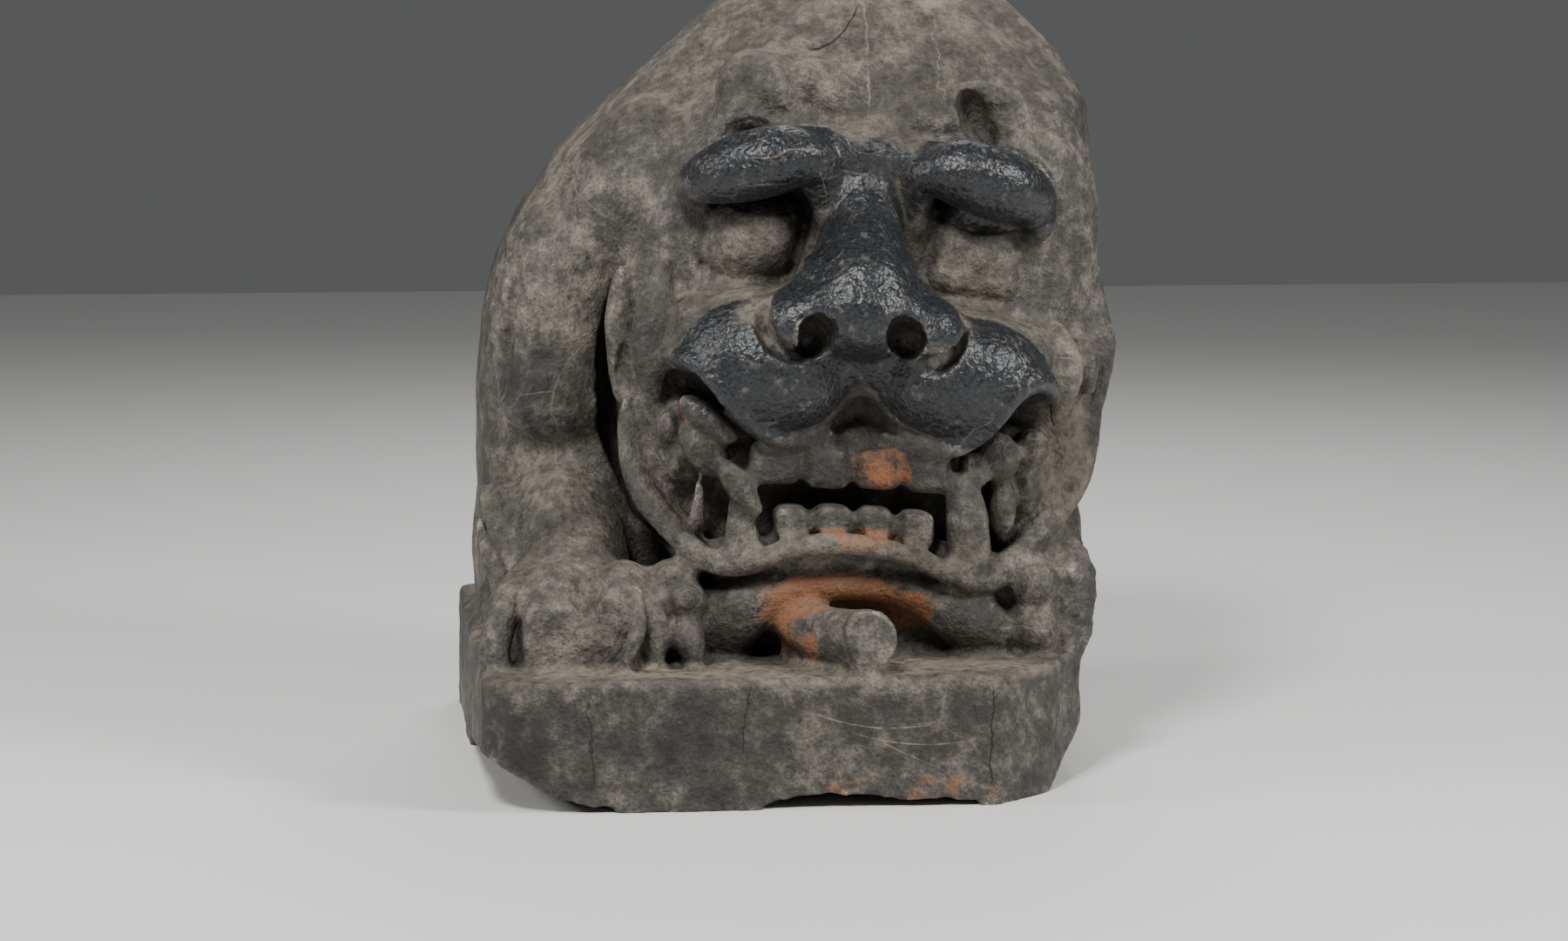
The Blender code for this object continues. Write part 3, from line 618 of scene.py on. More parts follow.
@dataclass(frozen=True)
class Head:
    """The broad head, modelled upright and centred, before it leans."""

    skull: Loft = Loft(
        (
            (-3, -19.5, 23, -25, 4),
            (4, -21.5, 25.5, -28.5, 4),
            (10, -24.5, 28.5, -31.5, 4),
            (17, -27.5, 31.5, -31, 4),
            (26, -30.8, 35, -29, 4),
            (36, -32, 36.5, -27.5, 4),
            (46, -32.5, 36.8, -26, 4),
            (56, -31.5, 36.8, -25, 4),
            (66, -30.5, 34.4, -24.5, 4),
            (73, -27, 32.5, -23, 4),
            (80, -20, 29.5, -18.5, 4),
            (87, -13, 23, -13, 4),
            (93, -5, 14, -6.5, 4),
        ),
        2.8,
    )
    lobes: tuple[Ball, ...] = (
        Ball((-12.4, -27.5, 40.4), (13.0, 12.5, 10.8)),
        Ball((14.6, -27.5, 40.3), (13.4, 12.5, 10.4)),
        Ball((-20.5, -24.5, 43.5), (5.6, 7.5, 6.2)),
        Ball((24.6, -24.5, 43), (5.6, 7.5, 6.0)),
        Ball((0.9, -30.4, 43.0), (4.6, 6.0, 5.6)),
    )
    bridge: Rope = Rope(
        (
            (-1.7, -19.6, 73), (-1.4, -22.2, 66.5), (-0.8, -25.2, 61.4), (0, -29.8, 57), (0.3, -34, 53.2),
            (0.2, -37, 50.4),
        ),
        (5.6, 5.8, 5.4, 6.0, 7.2, 7.2),
    )
    nose_root: Ball = Ball((-1.0, -20.4, 61), (9.6, 6.4, 9))
    flare: Ball = Ball((0.5, -31.6, 51.6), (10.2, 8.6, 7.0))
    nose_tip: Ball = Ball((0, -37.6, 49.4), (8.2, 6.6, 6.4))
    wings: tuple[Ball, ...] = (
        Ball((-8.6, -35.6, 46.9), (5.4, 6.6, 5.2)),
        Ball((9.9, -35.6, 47.3), (5.4, 6.6, 5.2)),
    )
    brows: tuple[Mass, ...] = (
        Ball((24.0, -24.2, 63.2), (2.7, 3.2, 3.2)),
        Ball((-24.2, -24.2, 63.4), (3.2, 3.6, 3.0)),
        Rope(
            (
                (-24.2, -23.0, 64.0), (-22.4, -26.3, 65.3), (-17.9, -28.8, 67.1), (-13.2, -29.2, 68.8),
                (-9.0, -28.0, 68.3), (-6.7, -27.0, 64.6), (-5.4, -26, 60.5),
            ),
            (3.2, 4.4, 5.3, 4.9, 3.8, 2.4, 1.6),
        ),
        Rope(
            (
                (24.2, -22.2, 65.6), (21.6, -25.5, 66.8), (17.2, -28.5, 68.1), (12.3, -29, 69.2),
                (8.4, -28.3, 69.1), (6.1, -27.0, 67.6), (6.3, -25.6, 63.5), (8.0, -24.6, 59.8),
            ),
            (2.8, 4.2, 5.2, 5.1, 4.2, 3.0, 2.0, 1.4),
        ),
        Rope(
            (
                (-14.5, -24.6, 69.9), (-7.2, -25.0, 70.3), (-1.0, -25.0, 69.7), (6.3, -25.0, 70.0),
                (12.5, -24.8, 69.9),
            ),
            (3.0, 3.4, 3.4, 3.4, 3.0),
        ),
    )
    glabella: Ball = Ball((-1.4, -22.6, 67.4), (8.2, 5.2, 6.4))
    eyes: tuple[Mass, ...] = (
        Block((-14.3, -21.2, 57.2), (13.0, 9, 12.6), 4.0, (-6, 0, -6)),
        Ball((-14.3, -21.6, 56.8), (6.4, 5.8, 6.6)),
        Block((16.5, -21.2, 58.4), (13.4, 9.4, 14.2), 2.6, (-6, 0, 6)),
        Ball((16.7, -20.6, 58.2), (6.2, 6.2, 6.6)),
    )
    sockets: tuple[Block, ...] = (
        Block((-15.1, -27.4, 58.3), (14.4, 16, 14.2), 3.0, (0, 0, -8)),
        Block((16.9, -27.4, 59.3), (14.4, 16, 16.4), 2.2, (0, 0, 8)),
    )
    nostrils: tuple[Ball, ...] = (
        Ball((-6.5, -40.4, 46.0), (2.7, 6.2, 2.7), (-20, 0, 10)),
        Ball((5.9, -40.4, 46.5), (2.8, 6.2, 2.7), (-20, 0, -10)),
    )
    crescents: tuple[Rope, ...] = (
        Rope(
            (
                (-13.0, -35.6, 51.6), (-13.6, -37.4, 47.6), (-11.4, -39.2, 44.0), (-7.6, -39.6, 43.0),
                (-4.0, -39.4, 44.2),
            ),
            (0.9, 1.6, 1.8, 1.6, 0.9),
        ),
        Rope(
            (
                (13.6, -35.6, 51.6), (14.0, -37.4, 47.4), (11.6, -39.4, 43.4), (7.2, -39.6, 41.4),
                (3.0, -39.0, 42.8),
            ),
            (0.9, 1.6, 1.8, 1.7, 0.9),
        ),
    )
    mouth: Plate = Plate(
        (
            (0.2, 33.5), (2.6, 31.2), (6.3, 29.6), (11.9, 29.3), (17.0, 31.5), (20.9, 35.4), (23.2, 38.2),
            (25.6, 39.0), (30.5, 37.6), (32.4, 31.5), (31, 25.5), (27.2, 20.8), (23, 16.8), (20, 13.4),
            (15.5, 13.4), (11, 15.8), (0, 18), (-11, 16.6), (-15.5, 14.4), (-19.4, 13.8), (-24.0, 17.5),
            (-28.0, 22.5), (-29.4, 29.5), (-28.4, 35.6), (-25.4, 39.4), (-21.5, 39.6), (-18.7, 36.4),
            (-15.5, 32.4), (-11.0, 29.9), (-5.9, 29.7), (-2.2, 31.6),
        ),
        -46, -22.5, 1.0,
    )
    chin_hollow: Ball = Ball((-0.3, -33.5, 2.2), (11.6, 7.6, 8.2))
    cheek_groove: Plate = Plate(
        (
            (-17.8, 57.4), (-21.8, 51.8), (-24, 45), (-24.4, 38), (-24.2, 30.5), (-22.2, 24.8), (-19, 18.6),
            (-15, 15), (-12.5, 13), (-15, 19), (-18.6, 24), (-20.8, 30.5), (-21.6, 38), (-22, 45),
            (-20.8, 50.5),
        ),
        -40, -1, 0.4,
    )
    lips: tuple[Rope, ...] = (
        Rope(
            (
                (-27.2, -26.0, 41.6), (-24.8, -30.6, 41.8), (-21.6, -35.8, 40.8), (-18.6, -37.4, 37.2),
                (-15.5, -36.2, 33.2), (-10.8, -33.8, 30.4), (-5.8, -32.4, 30.6), (-3.0, -31.2, 32.0),
            ),
            (0.8, 1.4, 1.4, 1.4, 1.4, 1.3, 1.1, 0.6),
        ),
        Rope(
            (
                (3.8, -31.0, 32.0), (6.8, -32.4, 30.4), (11.9, -33.6, 29.9), (16.6, -34.8, 32.0),
                (19.6, -37.4, 36.2), (21.9, -37.4, 39.6), (24.6, -35.4, 41.2), (27.0, -32.6, 40.4),
                (28.4, -30, 37.4),
            ),
            (0.6, 1.1, 1.4, 1.5, 1.5, 1.6, 1.7, 1.6, 0.9),
        ),
        Rope(
            (
                (-30.7, -19.0, 32.6), (-31.0, -21.0, 26.6), (-29.2, -24.0, 21.5), (-26.1, -27.0, 17.7),
                (-22.6, -30.0, 14.3), (-18.8, -32.5, 12.4), (-14.4, -34.0, 13.5), (-9.7, -35.0, 15.8),
                (-3.9, -36.0, 17.0), (1.7, -36.0, 16.8), (8.4, -35.2, 15.3), (12.8, -34.0, 13.0),
                (16.8, -32.0, 11.5), (20.2, -30.0, 11.9), (23.8, -27.0, 15.1), (27.9, -24.0, 19.1),
                (31.9, -21.5, 22.7), (35.0, -19.0, 28.0), (36.4, -17.0, 35.1),
            ),
            (1.6, 2.0, 2.1, 2.1, 1.9, 1.7, 1.6, 1.6, 1.6, 1.6, 1.6, 1.7, 1.9, 1.9, 2.0, 2.1, 2.1, 1.8, 1.4),
        ),
        Rope(
            (
                (-20.0, -25, 0.6), (-18.2, -27.6, 4.4), (-13.6, -29.2, 7.6), (-7.5, -30.8, 10.0),
                (0.5, -31.5, 11.1), (8.3, -30.8, 10.0), (13.6, -29.6, 7.2), (18.6, -27.8, 4.6),
                (20.8, -25.4, 0.8),
            ),
            (5.0, 5.6, 4.4, 2.8, 2.3, 2.8, 4.2, 5.4, 4.8),
        ),
    )
    flaps: tuple[Rope, ...] = (
        Rope(
            ((-26, -22, 53), (-27.2, -24, 48), (-28, -24.8, 42), (-28, -24.8, 38), (-27.6, -24, 34)),
            (1, 2.8, 3.2, 2.4, 0.7),
        ),
        Rope(((29.6, -23, 49), (30.8, -25.4, 44), (30.4, -26, 39), (29.2, -25.4, 33)), (0.8, 2.9, 2.7, 0.6)),
        Rope(((33, -19, 48), (34, -21.4, 44.5), (34.4, -22, 41), (34.8, -21.4, 37.6)), (0.8, 2.4, 2.0, 0.6)),
    )
    ears: tuple[Mass, ...] = (
        Ball((-31.5, -17.2, 42.4), (2.5, 3.0, 9.4)),
        Rope(
            ((-30.3, -17.6, 47), (-29.8, -19.6, 42), (-30.1, -20, 37), (-31.4, -19.6, 33)),
            (0.6, 1.0, 1.0, 0.6),
        ),
        Rope(((36, -13, 58), (36.8, -15.6, 50), (37, -16.6, 42), (36.2, -17.6, 33)), (0.8, 2.6, 2.7, 0.8)),
    )
    ear_hollow: Ball = Ball((-31.6, -20.4, 38.2), (1.3, 2.0, 4.4), (0, 4, 0))
    curls: tuple[Mass, ...] = (
        Ball((-15.4, -15.5, 77.2), (6.6, 6.6, 6.0), (15, 0, 10)),
        Ball((-18.2, -18.5, 73.6), (4.2, 4.4, 3.6), (0, 0, 10)),
        Ball((-6.6, -17.4, 77.6), (6.2, 4.2, 4.6), (12, 38, 0)),
        Ball((8.6, -18.6, 76.0), (7.4, 4.6, 3.6), (12, -8, 0)),
        Rope(
            (
                (1.6, -20.4, 74.4), (5.5, -20.4, 77.8), (10.8, -20.0, 79.4), (15.3, -19.6, 80.4),
                (19.4, -18.6, 79.8), (21.2, -18.4, 76.8), (21.8, -18.8, 73.0),
            ),
            (0.8, 1.4, 1.8, 2.1, 2.1, 1.9, 1.4),
        ),
        Ball((18.6, -16.6, 75.4), (3.6, 4.8, 5.0), (0, -12, 0)),
    )
    curl_break: tuple[Ball, ...] = (
        Ball((14.4, -21.8, 76.6), (2.6, 3.4, 4.6), (0, -24, 0)),
        Ball((-17.0, -22.4, 79.6), (1.6, 1.6, 1.2)),
    )
    stub: tuple[Mass, ...] = (
        Rope(
            (
                (-12.0, -27, 6.4), (-8.6, -30.5, 5.0), (-5.0, -35, 4.0), (-1.4, -40, 4.0), (0.4, -43, 5.2),
                (0.8, -45.8, 5.6),
            ),
            (2.2, 3.6, 4.2, 4.3, 3.9, 3.9),
        ),
        Rope(
            ((-8.4, -29, 1.6), (-4.4, -35, 0.6), (0.2, -40.5, 0.8), (0.9, -45.4, 1.9)), (3.0, 3.4, 3.2, 2.6)
        ),
    )

    def masses(self) -> list[Mass]:
        """The skull, the lobes of the upper lip and the nose."""
        nose = [self.bridge, self.nose_root, self.flare, self.nose_tip, *self.wings]
        return [self.skull, *self.lobes, *nose]

    def recesses(self) -> list[Mass]:
        """What is hollowed before the finer masses are laid on."""
        return [*self.sockets, self.mouth, self.chin_hollow]

    def fine_masses(self) -> list[Mass]:
        """The features of the face."""
        edges = [*self.lips, *self.flaps, *self.ears]
        return [*self.brows, self.glabella, *self.eyes, *edges, *self.curls, *self.stub]

    def late_recesses(self) -> list[Mass]:
        """The nostrils, the crescents beside the nose and the broken curl."""
        return [*self.nostrils, *self.crescents, *self.curl_break, self.ear_hollow]


@dataclass(frozen=True)
class Teeth:
    """The square front teeth, the fangs, the side teeth and the gums, on the upright head."""

    upper: tuple[tuple[float, float, float, float], ...] = (
        (-11.3, 27.4, 7.0, 6.2), (-4.0, 26.9, 6.4, 5.8), (3.1, 27.1, 6.2, 5.8), (10.2, 27.0, 6.4, 6.0),
    )
    lower: tuple[tuple[float, float, float, float], ...] = (
        (-8.9, 19.0, 4.9, 5.0), (-3.1, 19.4, 5.1, 4.8), (2.8, 19.4, 5.1, 4.8), (8.6, 18.8, 5.0, 5.4),
    )
    upper_front: float = -30.6
    lower_front: float = -31.2
    thickness: float = 6
    rounding: float = 1.5
    fangs: tuple[Mass, ...] = (
        Rope(
            ((16.2, -31.0, 13.8), (15.8, -32.6, 18.0), (15.4, -32.8, 22.5), (15.0, -31.0, 26.5)),
            (3.1, 3.1, 3.0, 1.8),
        ),
        Ball((15.4, -31.6, 14.4), (3.9, 3.2, 2.2)),
        Ball((-16.2, -32.2, 23.6), (2.0, 2.2, 4.8), (0, -34, 0)),
        Rope(((-15.4, -30.5, 14.2), (-15.9, -31.5, 17.7), (-16.9, -31.0, 22.2)), (3.2, 2.6, 0.7)),
        Ball((-15.3, -31.4, 14.6), (3.6, 3.2, 2.0)),
        Rope(((-21.8, -26.0, 16.6), (-21.5, -27.0, 21.0), (-21.3, -26.8, 25.2)), (1.4, 1.3, 0.4)),
    )
    side_teeth: tuple[Mass, ...] = (
        Ball((-20.4, -30.4, 33.0), (5.0, 2.6, 2.1), (0, 36, 0)),
        Ball((-20.9, -28.6, 28.6), (4.8, 3.0, 2.9), (0, 52, 0)),
        Ball((-22.5, -22.4, 29), (5, 3.6, 7)),
        Ball((23.5, -23.0, 26), (5.5, 4.0, 7)),
        Ball((-25.6, -24.6, 30.6), (1.4, 2.4, 2.8)),
        Ball((-24.7, -24.6, 25.8), (1.3, 2.2, 2.4)),
        Block((16.9, -30.2, 27.4), (4.2, 5, 4.4), 1.4),
        Ball((20.6, -29.6, 29.2), (2.9, 3.2, 3.4)),
        Ball((25.8, -26.6, 30.4), (2.6, 3.2, 2.8)),
        Ball((21.2, -28.4, 22.2), (2.1, 2.6, 4.4)),
        Ball((25.0, -25.6, 24), (1.9, 2.4, 3.6)),
    )
    gums: tuple[Rope, ...] = (
        Rope(
            ((-18, -25, 31.6), (-8, -28, 30.2), (0, -28.6, 30.4), (8, -28, 30.2), (18, -25, 31.6)), (2.6,) * 5
        ),
        Rope(((-20, -27, 13.0), (-9, -30, 15), (0, -30.6, 16.4), (9, -30, 15), (20, -27, 13.0)), (2.6,) * 5),
        Rope(((22, -24, 15.5), (27, -22.5, 20), (31, -21, 26)), (2.4, 2.2, 2.0)),
        Rope(((-22, -25, 14.5), (-26.5, -22.6, 19), (-29, -21, 26)), (2.4, 2.0, 1.8)),
    )

    def masses(self) -> list[Mass]:
        """Everything inside the mouth."""
        front = [
            Block((x, depth, z), (wide, self.thickness, high), self.rounding)
            for depth, row in ((self.upper_front, self.upper), (self.lower_front, self.lower))
            for x, z, wide, high in row
        ]
        return [*front, *self.fangs, *self.side_teeth, *self.gums]


class Layer(Enum):
    """What lies on the stone, and where shade and sheen are painted. Each is an attribute of the mesh, which
    the finish reads.
    """

    CAVITY = "hollow_shade_and_dust"
    RIDGE = "ridge"
    CREASE = "crease"
    PATINA = "patina"
    PIGMENT = "pigment"
    DUST = "dust"
    STAIN = "stain_and_shade"
    FRESH = "fresh"


@dataclass(frozen=True)
class Patch:
    """A soft-edged ellipsoid in squares, on the upright head or on the standing grid."""

    centre: Point
    radii: Point
    strength: float = 1.0
    on_head: bool = True

    def weight(self, standing: np.ndarray, upright: np.ndarray) -> np.ndarray:
        """How strongly the patch covers each point.

        Args:
            standing: The points in squares.
            upright: The same points, carried back to the upright head.

        Returns:
            A number from 0 to strength for each point.
        """
        points = upright if self.on_head else standing
        reach = np.sqrt((((points - self.centre) / self.radii) ** 2).sum(axis=1))
        return self.strength * (1 - smooth_step(0.75, 1.15, reach))


def covered(patches: Iterable[Patch], standing: np.ndarray, upright: np.ndarray) -> np.ndarray:
    """The strongest weight of several patches at each point."""
    weights = [patch.weight(standing, upright) for patch in patches]
    return np.max(weights, axis=0)


def grain(points: np.ndarray, size: float, seed: float) -> np.ndarray:
    """Smooth noise from about -1 to 1 at points in metres, with lumps of the given size."""
    scaled = (points / size + seed).tolist()
    return np.fromiter((noise.noise(point) for point in scaled), float, len(scaled))


@dataclass(frozen=True)
class Weather:
    """How the carved surface is worn and broken. Lengths in metres."""

    swell: tuple[float, float] = (0.075, 0.0020)
    ripple: tuple[float, float] = (0.026, 0.0010)
    pit: tuple[float, float] = (0.011, 0.0005)
    break_lump: tuple[float, float] = (0.020, 0.0045)
    break_grit: tuple[float, float] = (0.009, 0.0022)
    breaks: tuple[Patch, ...] = (
        Patch((-39, -8, 50), (3.4, 12, 17), 1.0, False),
        Patch((-38, -8, 30), (4, 10, 8), 0.8, False),
        Patch((-30, -13, 36), (9, 8, 6), 0.8, False),
        Patch((44, -22, 8), (3, 9, 11), 1.0, False),
        Patch((46, -15, 80), (6, 10, 10), 0.5, False),
        Patch((-41, -44, -14), (6, 8, 8), 0.6, False),
        Patch((0, -46, -17), (60, 4, 2.5), 0.7, False),
        Patch((15, -23, 74), (5, 4, 5), 0.6),
    )
    worn: tuple[Patch, ...] = (
        Patch((1, -34, 46), (30, 16, 16), 0.8),
        Patch((0, -26, 68), (26, 9, 7), 0.8),
    )

    def wear(self, skin: bmesh.types.BMesh) -> None:
        """Move the skin's points in and out along their normals."""
        skin.normal_update()
        points = np.array([vert.co[:] for vert in skin.verts])
        normals = np.array([vert.normal[:] for vert in skin.verts])
        standing = GRID.squares(points)
        upright = GRID.upright(standing)
        broken = covered(self.breaks, standing, upright)
        worn = covered(self.worn, standing, upright)
        moves = sum(grain(points, size, seed) * depth * (1 - 0.6 * worn)
                    for seed, (size, depth) in enumerate((self.swell, self.ripple, self.pit)))
        moves += broken * sum(grain(points, size, 7.3 + seed) * depth
                              for seed, (size, depth) in enumerate((self.break_lump, self.break_grit)))
        placed = points + normals * moves[:, None]
        for vert, place in zip(skin.verts, placed.tolist()):
            vert.co = place


@dataclass(frozen=True)
class Hairline:
    """A crack or a scratch on faces in front of a depth: a parabola through (x, z) places in metres."""

    marks: tuple[tuple[float, float], tuple[float, float], tuple[float, float]]
    width: float
    front: float
    wobble: float = 0.0
    runs_up: bool = False


@dataclass(frozen=True)
class Limestone:
    """Dark mottled limestone with a blue-black patina, dust, red pigment, pale breaks, painted shade in
    hollows and painted sheen on ridges.
    """

    name: str = "limestone"
    dark: Point = (0.014, 0.0125, 0.0105)
    middle: Point = (0.056, 0.050, 0.042)
    light: Point = (0.185, 0.164, 0.134)
    dust: Point = (0.230, 0.192, 0.145)
    patina: Point = (0.0155, 0.0175, 0.0200)
    pigment: Point = (0.250, 0.086, 0.026)
    fresh: Point = (0.45, 0.43, 0.40)
    roughness: float = 0.66
    patina_roughness: float = 0.37
    shine: float = 0.45
    rays: int = 12
    ray_turn: float = 2.39996
    ray_start: float = 0.001
    ray_reach: float = 0.07
    closed_range: tuple[float, float] = (0.1, 0.8)
    bend_range: tuple[float, float] = (12, 55)
    bend_rounds: int = 3
    # Darker stone on the slab's front and lower left corner, painted shade inside the mouth and under the
    # shoulder's lump, and darker patches beside the chin.
    stain_and_shade_patches: tuple[Patch, ...] = (
        Patch((0, -27, 25), (28, 9, 10), 0.75),
        Patch((-30, -10, 36), (10, 9, 8), 0.8, False),
        Patch((-40, -44, -9), (9, 8, 8), 0.8, False),
        Patch((4, -46, -7), (50, 5, 5), 0.45, False),
        Patch((-17, -29, 5), (6, 6, 7), 0.5),
        Patch((17, -29, 5), (6, 6, 7), 0.6),
    )
    pigment_patches: tuple[Patch, ...] = (
        Patch((3, -32, 27), (7, 4, 4), 0.65),
        Patch((0, -33, 17.2), (9, 5, 2.2), 0.8),
        Patch((-1, -30, 7.5), (14, 9, 5.5), 1.1),
        Patch((-6, -33, 3), (6, 8, 4.5), 0.7),
        Patch((-21, -28, 34.5), (5, 5, 3.5), 0.8),
        Patch((16, -46, -16), (16, 5, 3), 0.55, False),
    )
    patina_patches: tuple[Patch, ...] = (
        Patch((-15, -27, 67.5), (14.5, 9, 7.4), 1.3),
        Patch((16, -27, 68), (14, 9, 7.4), 1.3),
        Patch((0, -25, 66), (10, 7, 8), 0.85),
        Patch((0, -33, 54), (8.5, 12, 13), 1.3),
        Patch((0.5, -38, 48.5), (17, 10, 8), 1.3),
        Patch((-14, -37, 40.5), (16, 10, 10.4), 1.3),
        Patch((16, -37, 40.5), (16, 10, 10.4), 1.3),
        Patch((38, -46, -1), (60, 4, 2), 0.35, False),
    )
    dust_patches: tuple[Patch, ...] = (
        Patch((2, -38, -0.5), (40, 8, 1.8), 0.9, False),
        Patch((-12.5, -35, 44.5), (5, 3, 7), 0.8),
        Patch((11.5, -35, 43.5), (6, 3, 7), 0.8),
        Patch((-14.5, -27, 54), (7, 6, 5), 0.30),
        Patch((16.7, -27, 54), (7, 6, 6), 0.35),
        Patch((31, -22, 30), (5, 7, 12), 0.45),
        Patch((0, -37, 16), (26, 5, 4), 0.30),
    )
    cracks: tuple[Hairline, ...] = (
        Hairline(((-0.2246, 0.1372), (-0.2225, 0.0900), (-0.2250, 0.0300)), 0.0015, -0.34, 0.045, True),
        Hairline(((-0.0459, 0.1457), (-0.0498, 0.1109), (-0.0538, 0.0612)), 0.0011, -0.34, 0.035, True),
        Hairline(((0.2332, 0.1404), (0.2305, 0.1054), (0.2291, 0.0200)), 0.0012, -0.30, 0.025, True),
        Hairline(((0.049, 0.850), (0.092, 0.870), (0.117, 0.905)), 0.0015, 0.0, 0.010),
    )
    scratches: tuple[Hairline, ...] = (
        Hairline(((0.0182, 0.1146), (0.0924, 0.0931), (0.1668, 0.0966)), 0.0010, -0.34, 0.002),
        Hairline(((0.0676, 0.0886), (0.1422, 0.0725), (0.2167, 0.0776)), 0.0011, -0.34, 0.002),
        Hairline(((0.1023, 0.0779), (0.1371, 0.0592), (0.1671, 0.0465)), 0.0008, -0.34, 0.002),
        Hairline(((0.113, 0.75), (0.117, 0.83), (0.119, 0.93)), 0.0014, 0.0, 0.022, True),
        Hairline(((0.199, 0.78), (0.201, 0.84), (0.203, 0.92)), 0.0012, 0.0, 0.045, True),
        Hairline(((0.050, 0.755), (0.082, 0.800), (0.110, 0.790)), 0.0011, 0.0, 0.030),
    )

    def layers(self, lion: bpy.types.Object) -> None:
        """Write each layer to the mesh as an attribute."""
        mesh = lion.data
        count = len(mesh.vertices)
        points = np.empty(count * 3)
        mesh.vertices.foreach_get("co", points)
        points = points.reshape(-1, 3)
        normals = np.empty(count * 3)
        mesh.vertex_normals.foreach_get("vector", normals)
        normals = normals.reshape(-1, 3)
        standing = GRID.squares(points)
        upright = GRID.upright(standing)
        closed = self.closeness(lion, points, normals)
        broken = covered(Weather().breaks, standing, upright)
        bend = self.bending(mesh, points, normals)
        values = {
            Layer.CAVITY: closed,
            Layer.RIDGE: smooth_step(*self.bend_range, bend),
            Layer.CREASE: smooth_step(*self.bend_range, -bend),
            Layer.PATINA: covered(self.patina_patches, standing, upright),
            Layer.PIGMENT: covered(self.pigment_patches, standing, upright),
            Layer.DUST: covered(self.dust_patches, standing, upright),
            Layer.STAIN: covered(self.stain_and_shade_patches, standing, upright),
            Layer.FRESH: broken * (1 - closed),
        }
        for layer, value in values.items():
            made = mesh.attributes.new(layer.value, "FLOAT", "POINT")
            made.data.foreach_set("value", np.clip(value, 0, 1).astype(np.float32))

    def bending(self, mesh: bpy.types.Mesh, points: np.ndarray, normals: np.ndarray) -> np.ndarray:
        """How sharply the surface bends at each point.

        Args:
            mesh: The carving's mesh.
            points: Its points in metres.
            normals: Their normals.

        Returns:
            Curvature for each metre: over 0 on a ridge and under 0 in a crease.
        """
        ends = np.empty(len(mesh.edges) * 2, int)
        mesh.edges.foreach_get("vertices", ends)
        first, second = ends.reshape(-1, 2).T
        count = np.bincount(ends, minlength=len(points))
        between = points[second] - points[first]
        rise = -(between * normals[first]).sum(axis=1)
        fall = (between * normals[second]).sum(axis=1)
        length = (between ** 2).sum(axis=1)

        def gathered(at_first: np.ndarray, at_second: np.ndarray) -> np.ndarray:
            """The mean of what the edges bring to each point."""
            total = np.bincount(first, at_first, len(points)) + np.bincount(second, at_second, len(points))
            return total / count

        bend = gathered(rise / length, fall / length)
        for _ in range(self.bend_rounds):
            bend = (bend + gathered(bend[second], bend[first])) / 2
        return bend

    def closeness(self, lion: bpy.types.Object, points: np.ndarray, normals: np.ndarray) -> np.ndarray:
        """How closed in each point is by the stone around it.

        Args:
            lion: The carving.
            points: Its points in metres.
            normals: Their normals.

        Returns:
            From 0 for an open point to 1 for the bottom of a deep hollow.
        """
        shape = bmesh.new()
        shape.from_mesh(lion.data)
        tree = BVHTree.FromBMesh(shape)
        shape.free()
        hits = np.zeros(len(points))
        for ray in range(self.rays):
            height = 0.15 + 0.8 * (ray + 0.5) / self.rays
            angle = ray * self.ray_turn
            side = math.sqrt(1 - height * height)
            local = (side * math.cos(angle), side * math.sin(angle), height)
            for index, (point, normal) in enumerate(zip(points, normals)):
                up = Vector(normal)
                across = up.orthogonal().normalized()
                along = up.cross(across)
                direction = across * local[0] + along * local[1] + up * local[2]
                start = Vector(point) + up * self.ray_start
                if tree.ray_cast(start, direction, self.ray_reach)[0] is not None:
                    hits[index] += 1
        return smooth_step(*self.closed_range, hits / self.rays)

    def material(self) -> bpy.types.Material:
        """The stone's nodes."""
        made = bpy.data.materials.new(self.name)
        made.use_nodes = True
        bench = NodeBench(made.node_tree)
        place = bench.node("ShaderNodeTexCoord").outputs["Object"]
        layers = {layer: bench.attribute(layer.value) for layer in Layer}

        broad = bench.noise(place, 6.0, 4.0, 0.6)
        blotch = bench.noise(place, 24.0, 4.0, 0.65)
        fine = bench.noise(place, 75.0, 4.0, 0.7)
        grit = bench.noise(place, 270.0, 2.0, 0.6)
        mottle = bench.mix_number(0.32, bench.mix_number(0.5, broad, blotch), fine)
        stone = bench.ramp(mottle, ((0.36, self.dark), (0.50, self.middle), (0.64, self.light)))
        stone = bench.shaded(stone, bench.grey(grit, 0.32, 0.65, 0.66, 1.4))
        # Stain with painted shade: the slab's front goes darker, and painted shade darkens the mouth's inside
        # and the lump under the shoulder.
        stain_and_shade_share = bench.times(layers[Layer.STAIN], bench.grey(blotch, 0.35, 1.0, 0.65, 0.55))
        stone = bench.coated(stain_and_shade_share, stone, self.dark)

        patina_edge = bench.maths("ADD", layers[Layer.PATINA], bench.spread(blotch, 0.5, 0.9))
        patina = bench.grey(patina_edge, 0.50, 0.0, 0.80, 1.0)
        film = bench.shaded(self.patina, bench.grey(grit, 0.35, 0.5, 0.65, 1.6))
        flecks = bench.grey(fine, 0.56, 0.0, 0.66, 0.55)
        flecks = bench.times(flecks, bench.grey(blotch, 0.4, 0.2, 0.6, 1.0))
        film = bench.coated(flecks, film, self.light)
        colour = bench.coated(patina, stone, film)

        red_edge = bench.maths("ADD", layers[Layer.PIGMENT], bench.spread(blotch, 0.5, 2.2))
        red = bench.grey(red_edge, 0.55, 0.0, 0.85, 0.85)
        red = bench.times(red, bench.grey(grit, 0.30, 0.35, 0.55, 1.0))
        colour = bench.coated(red, colour, self.pigment)

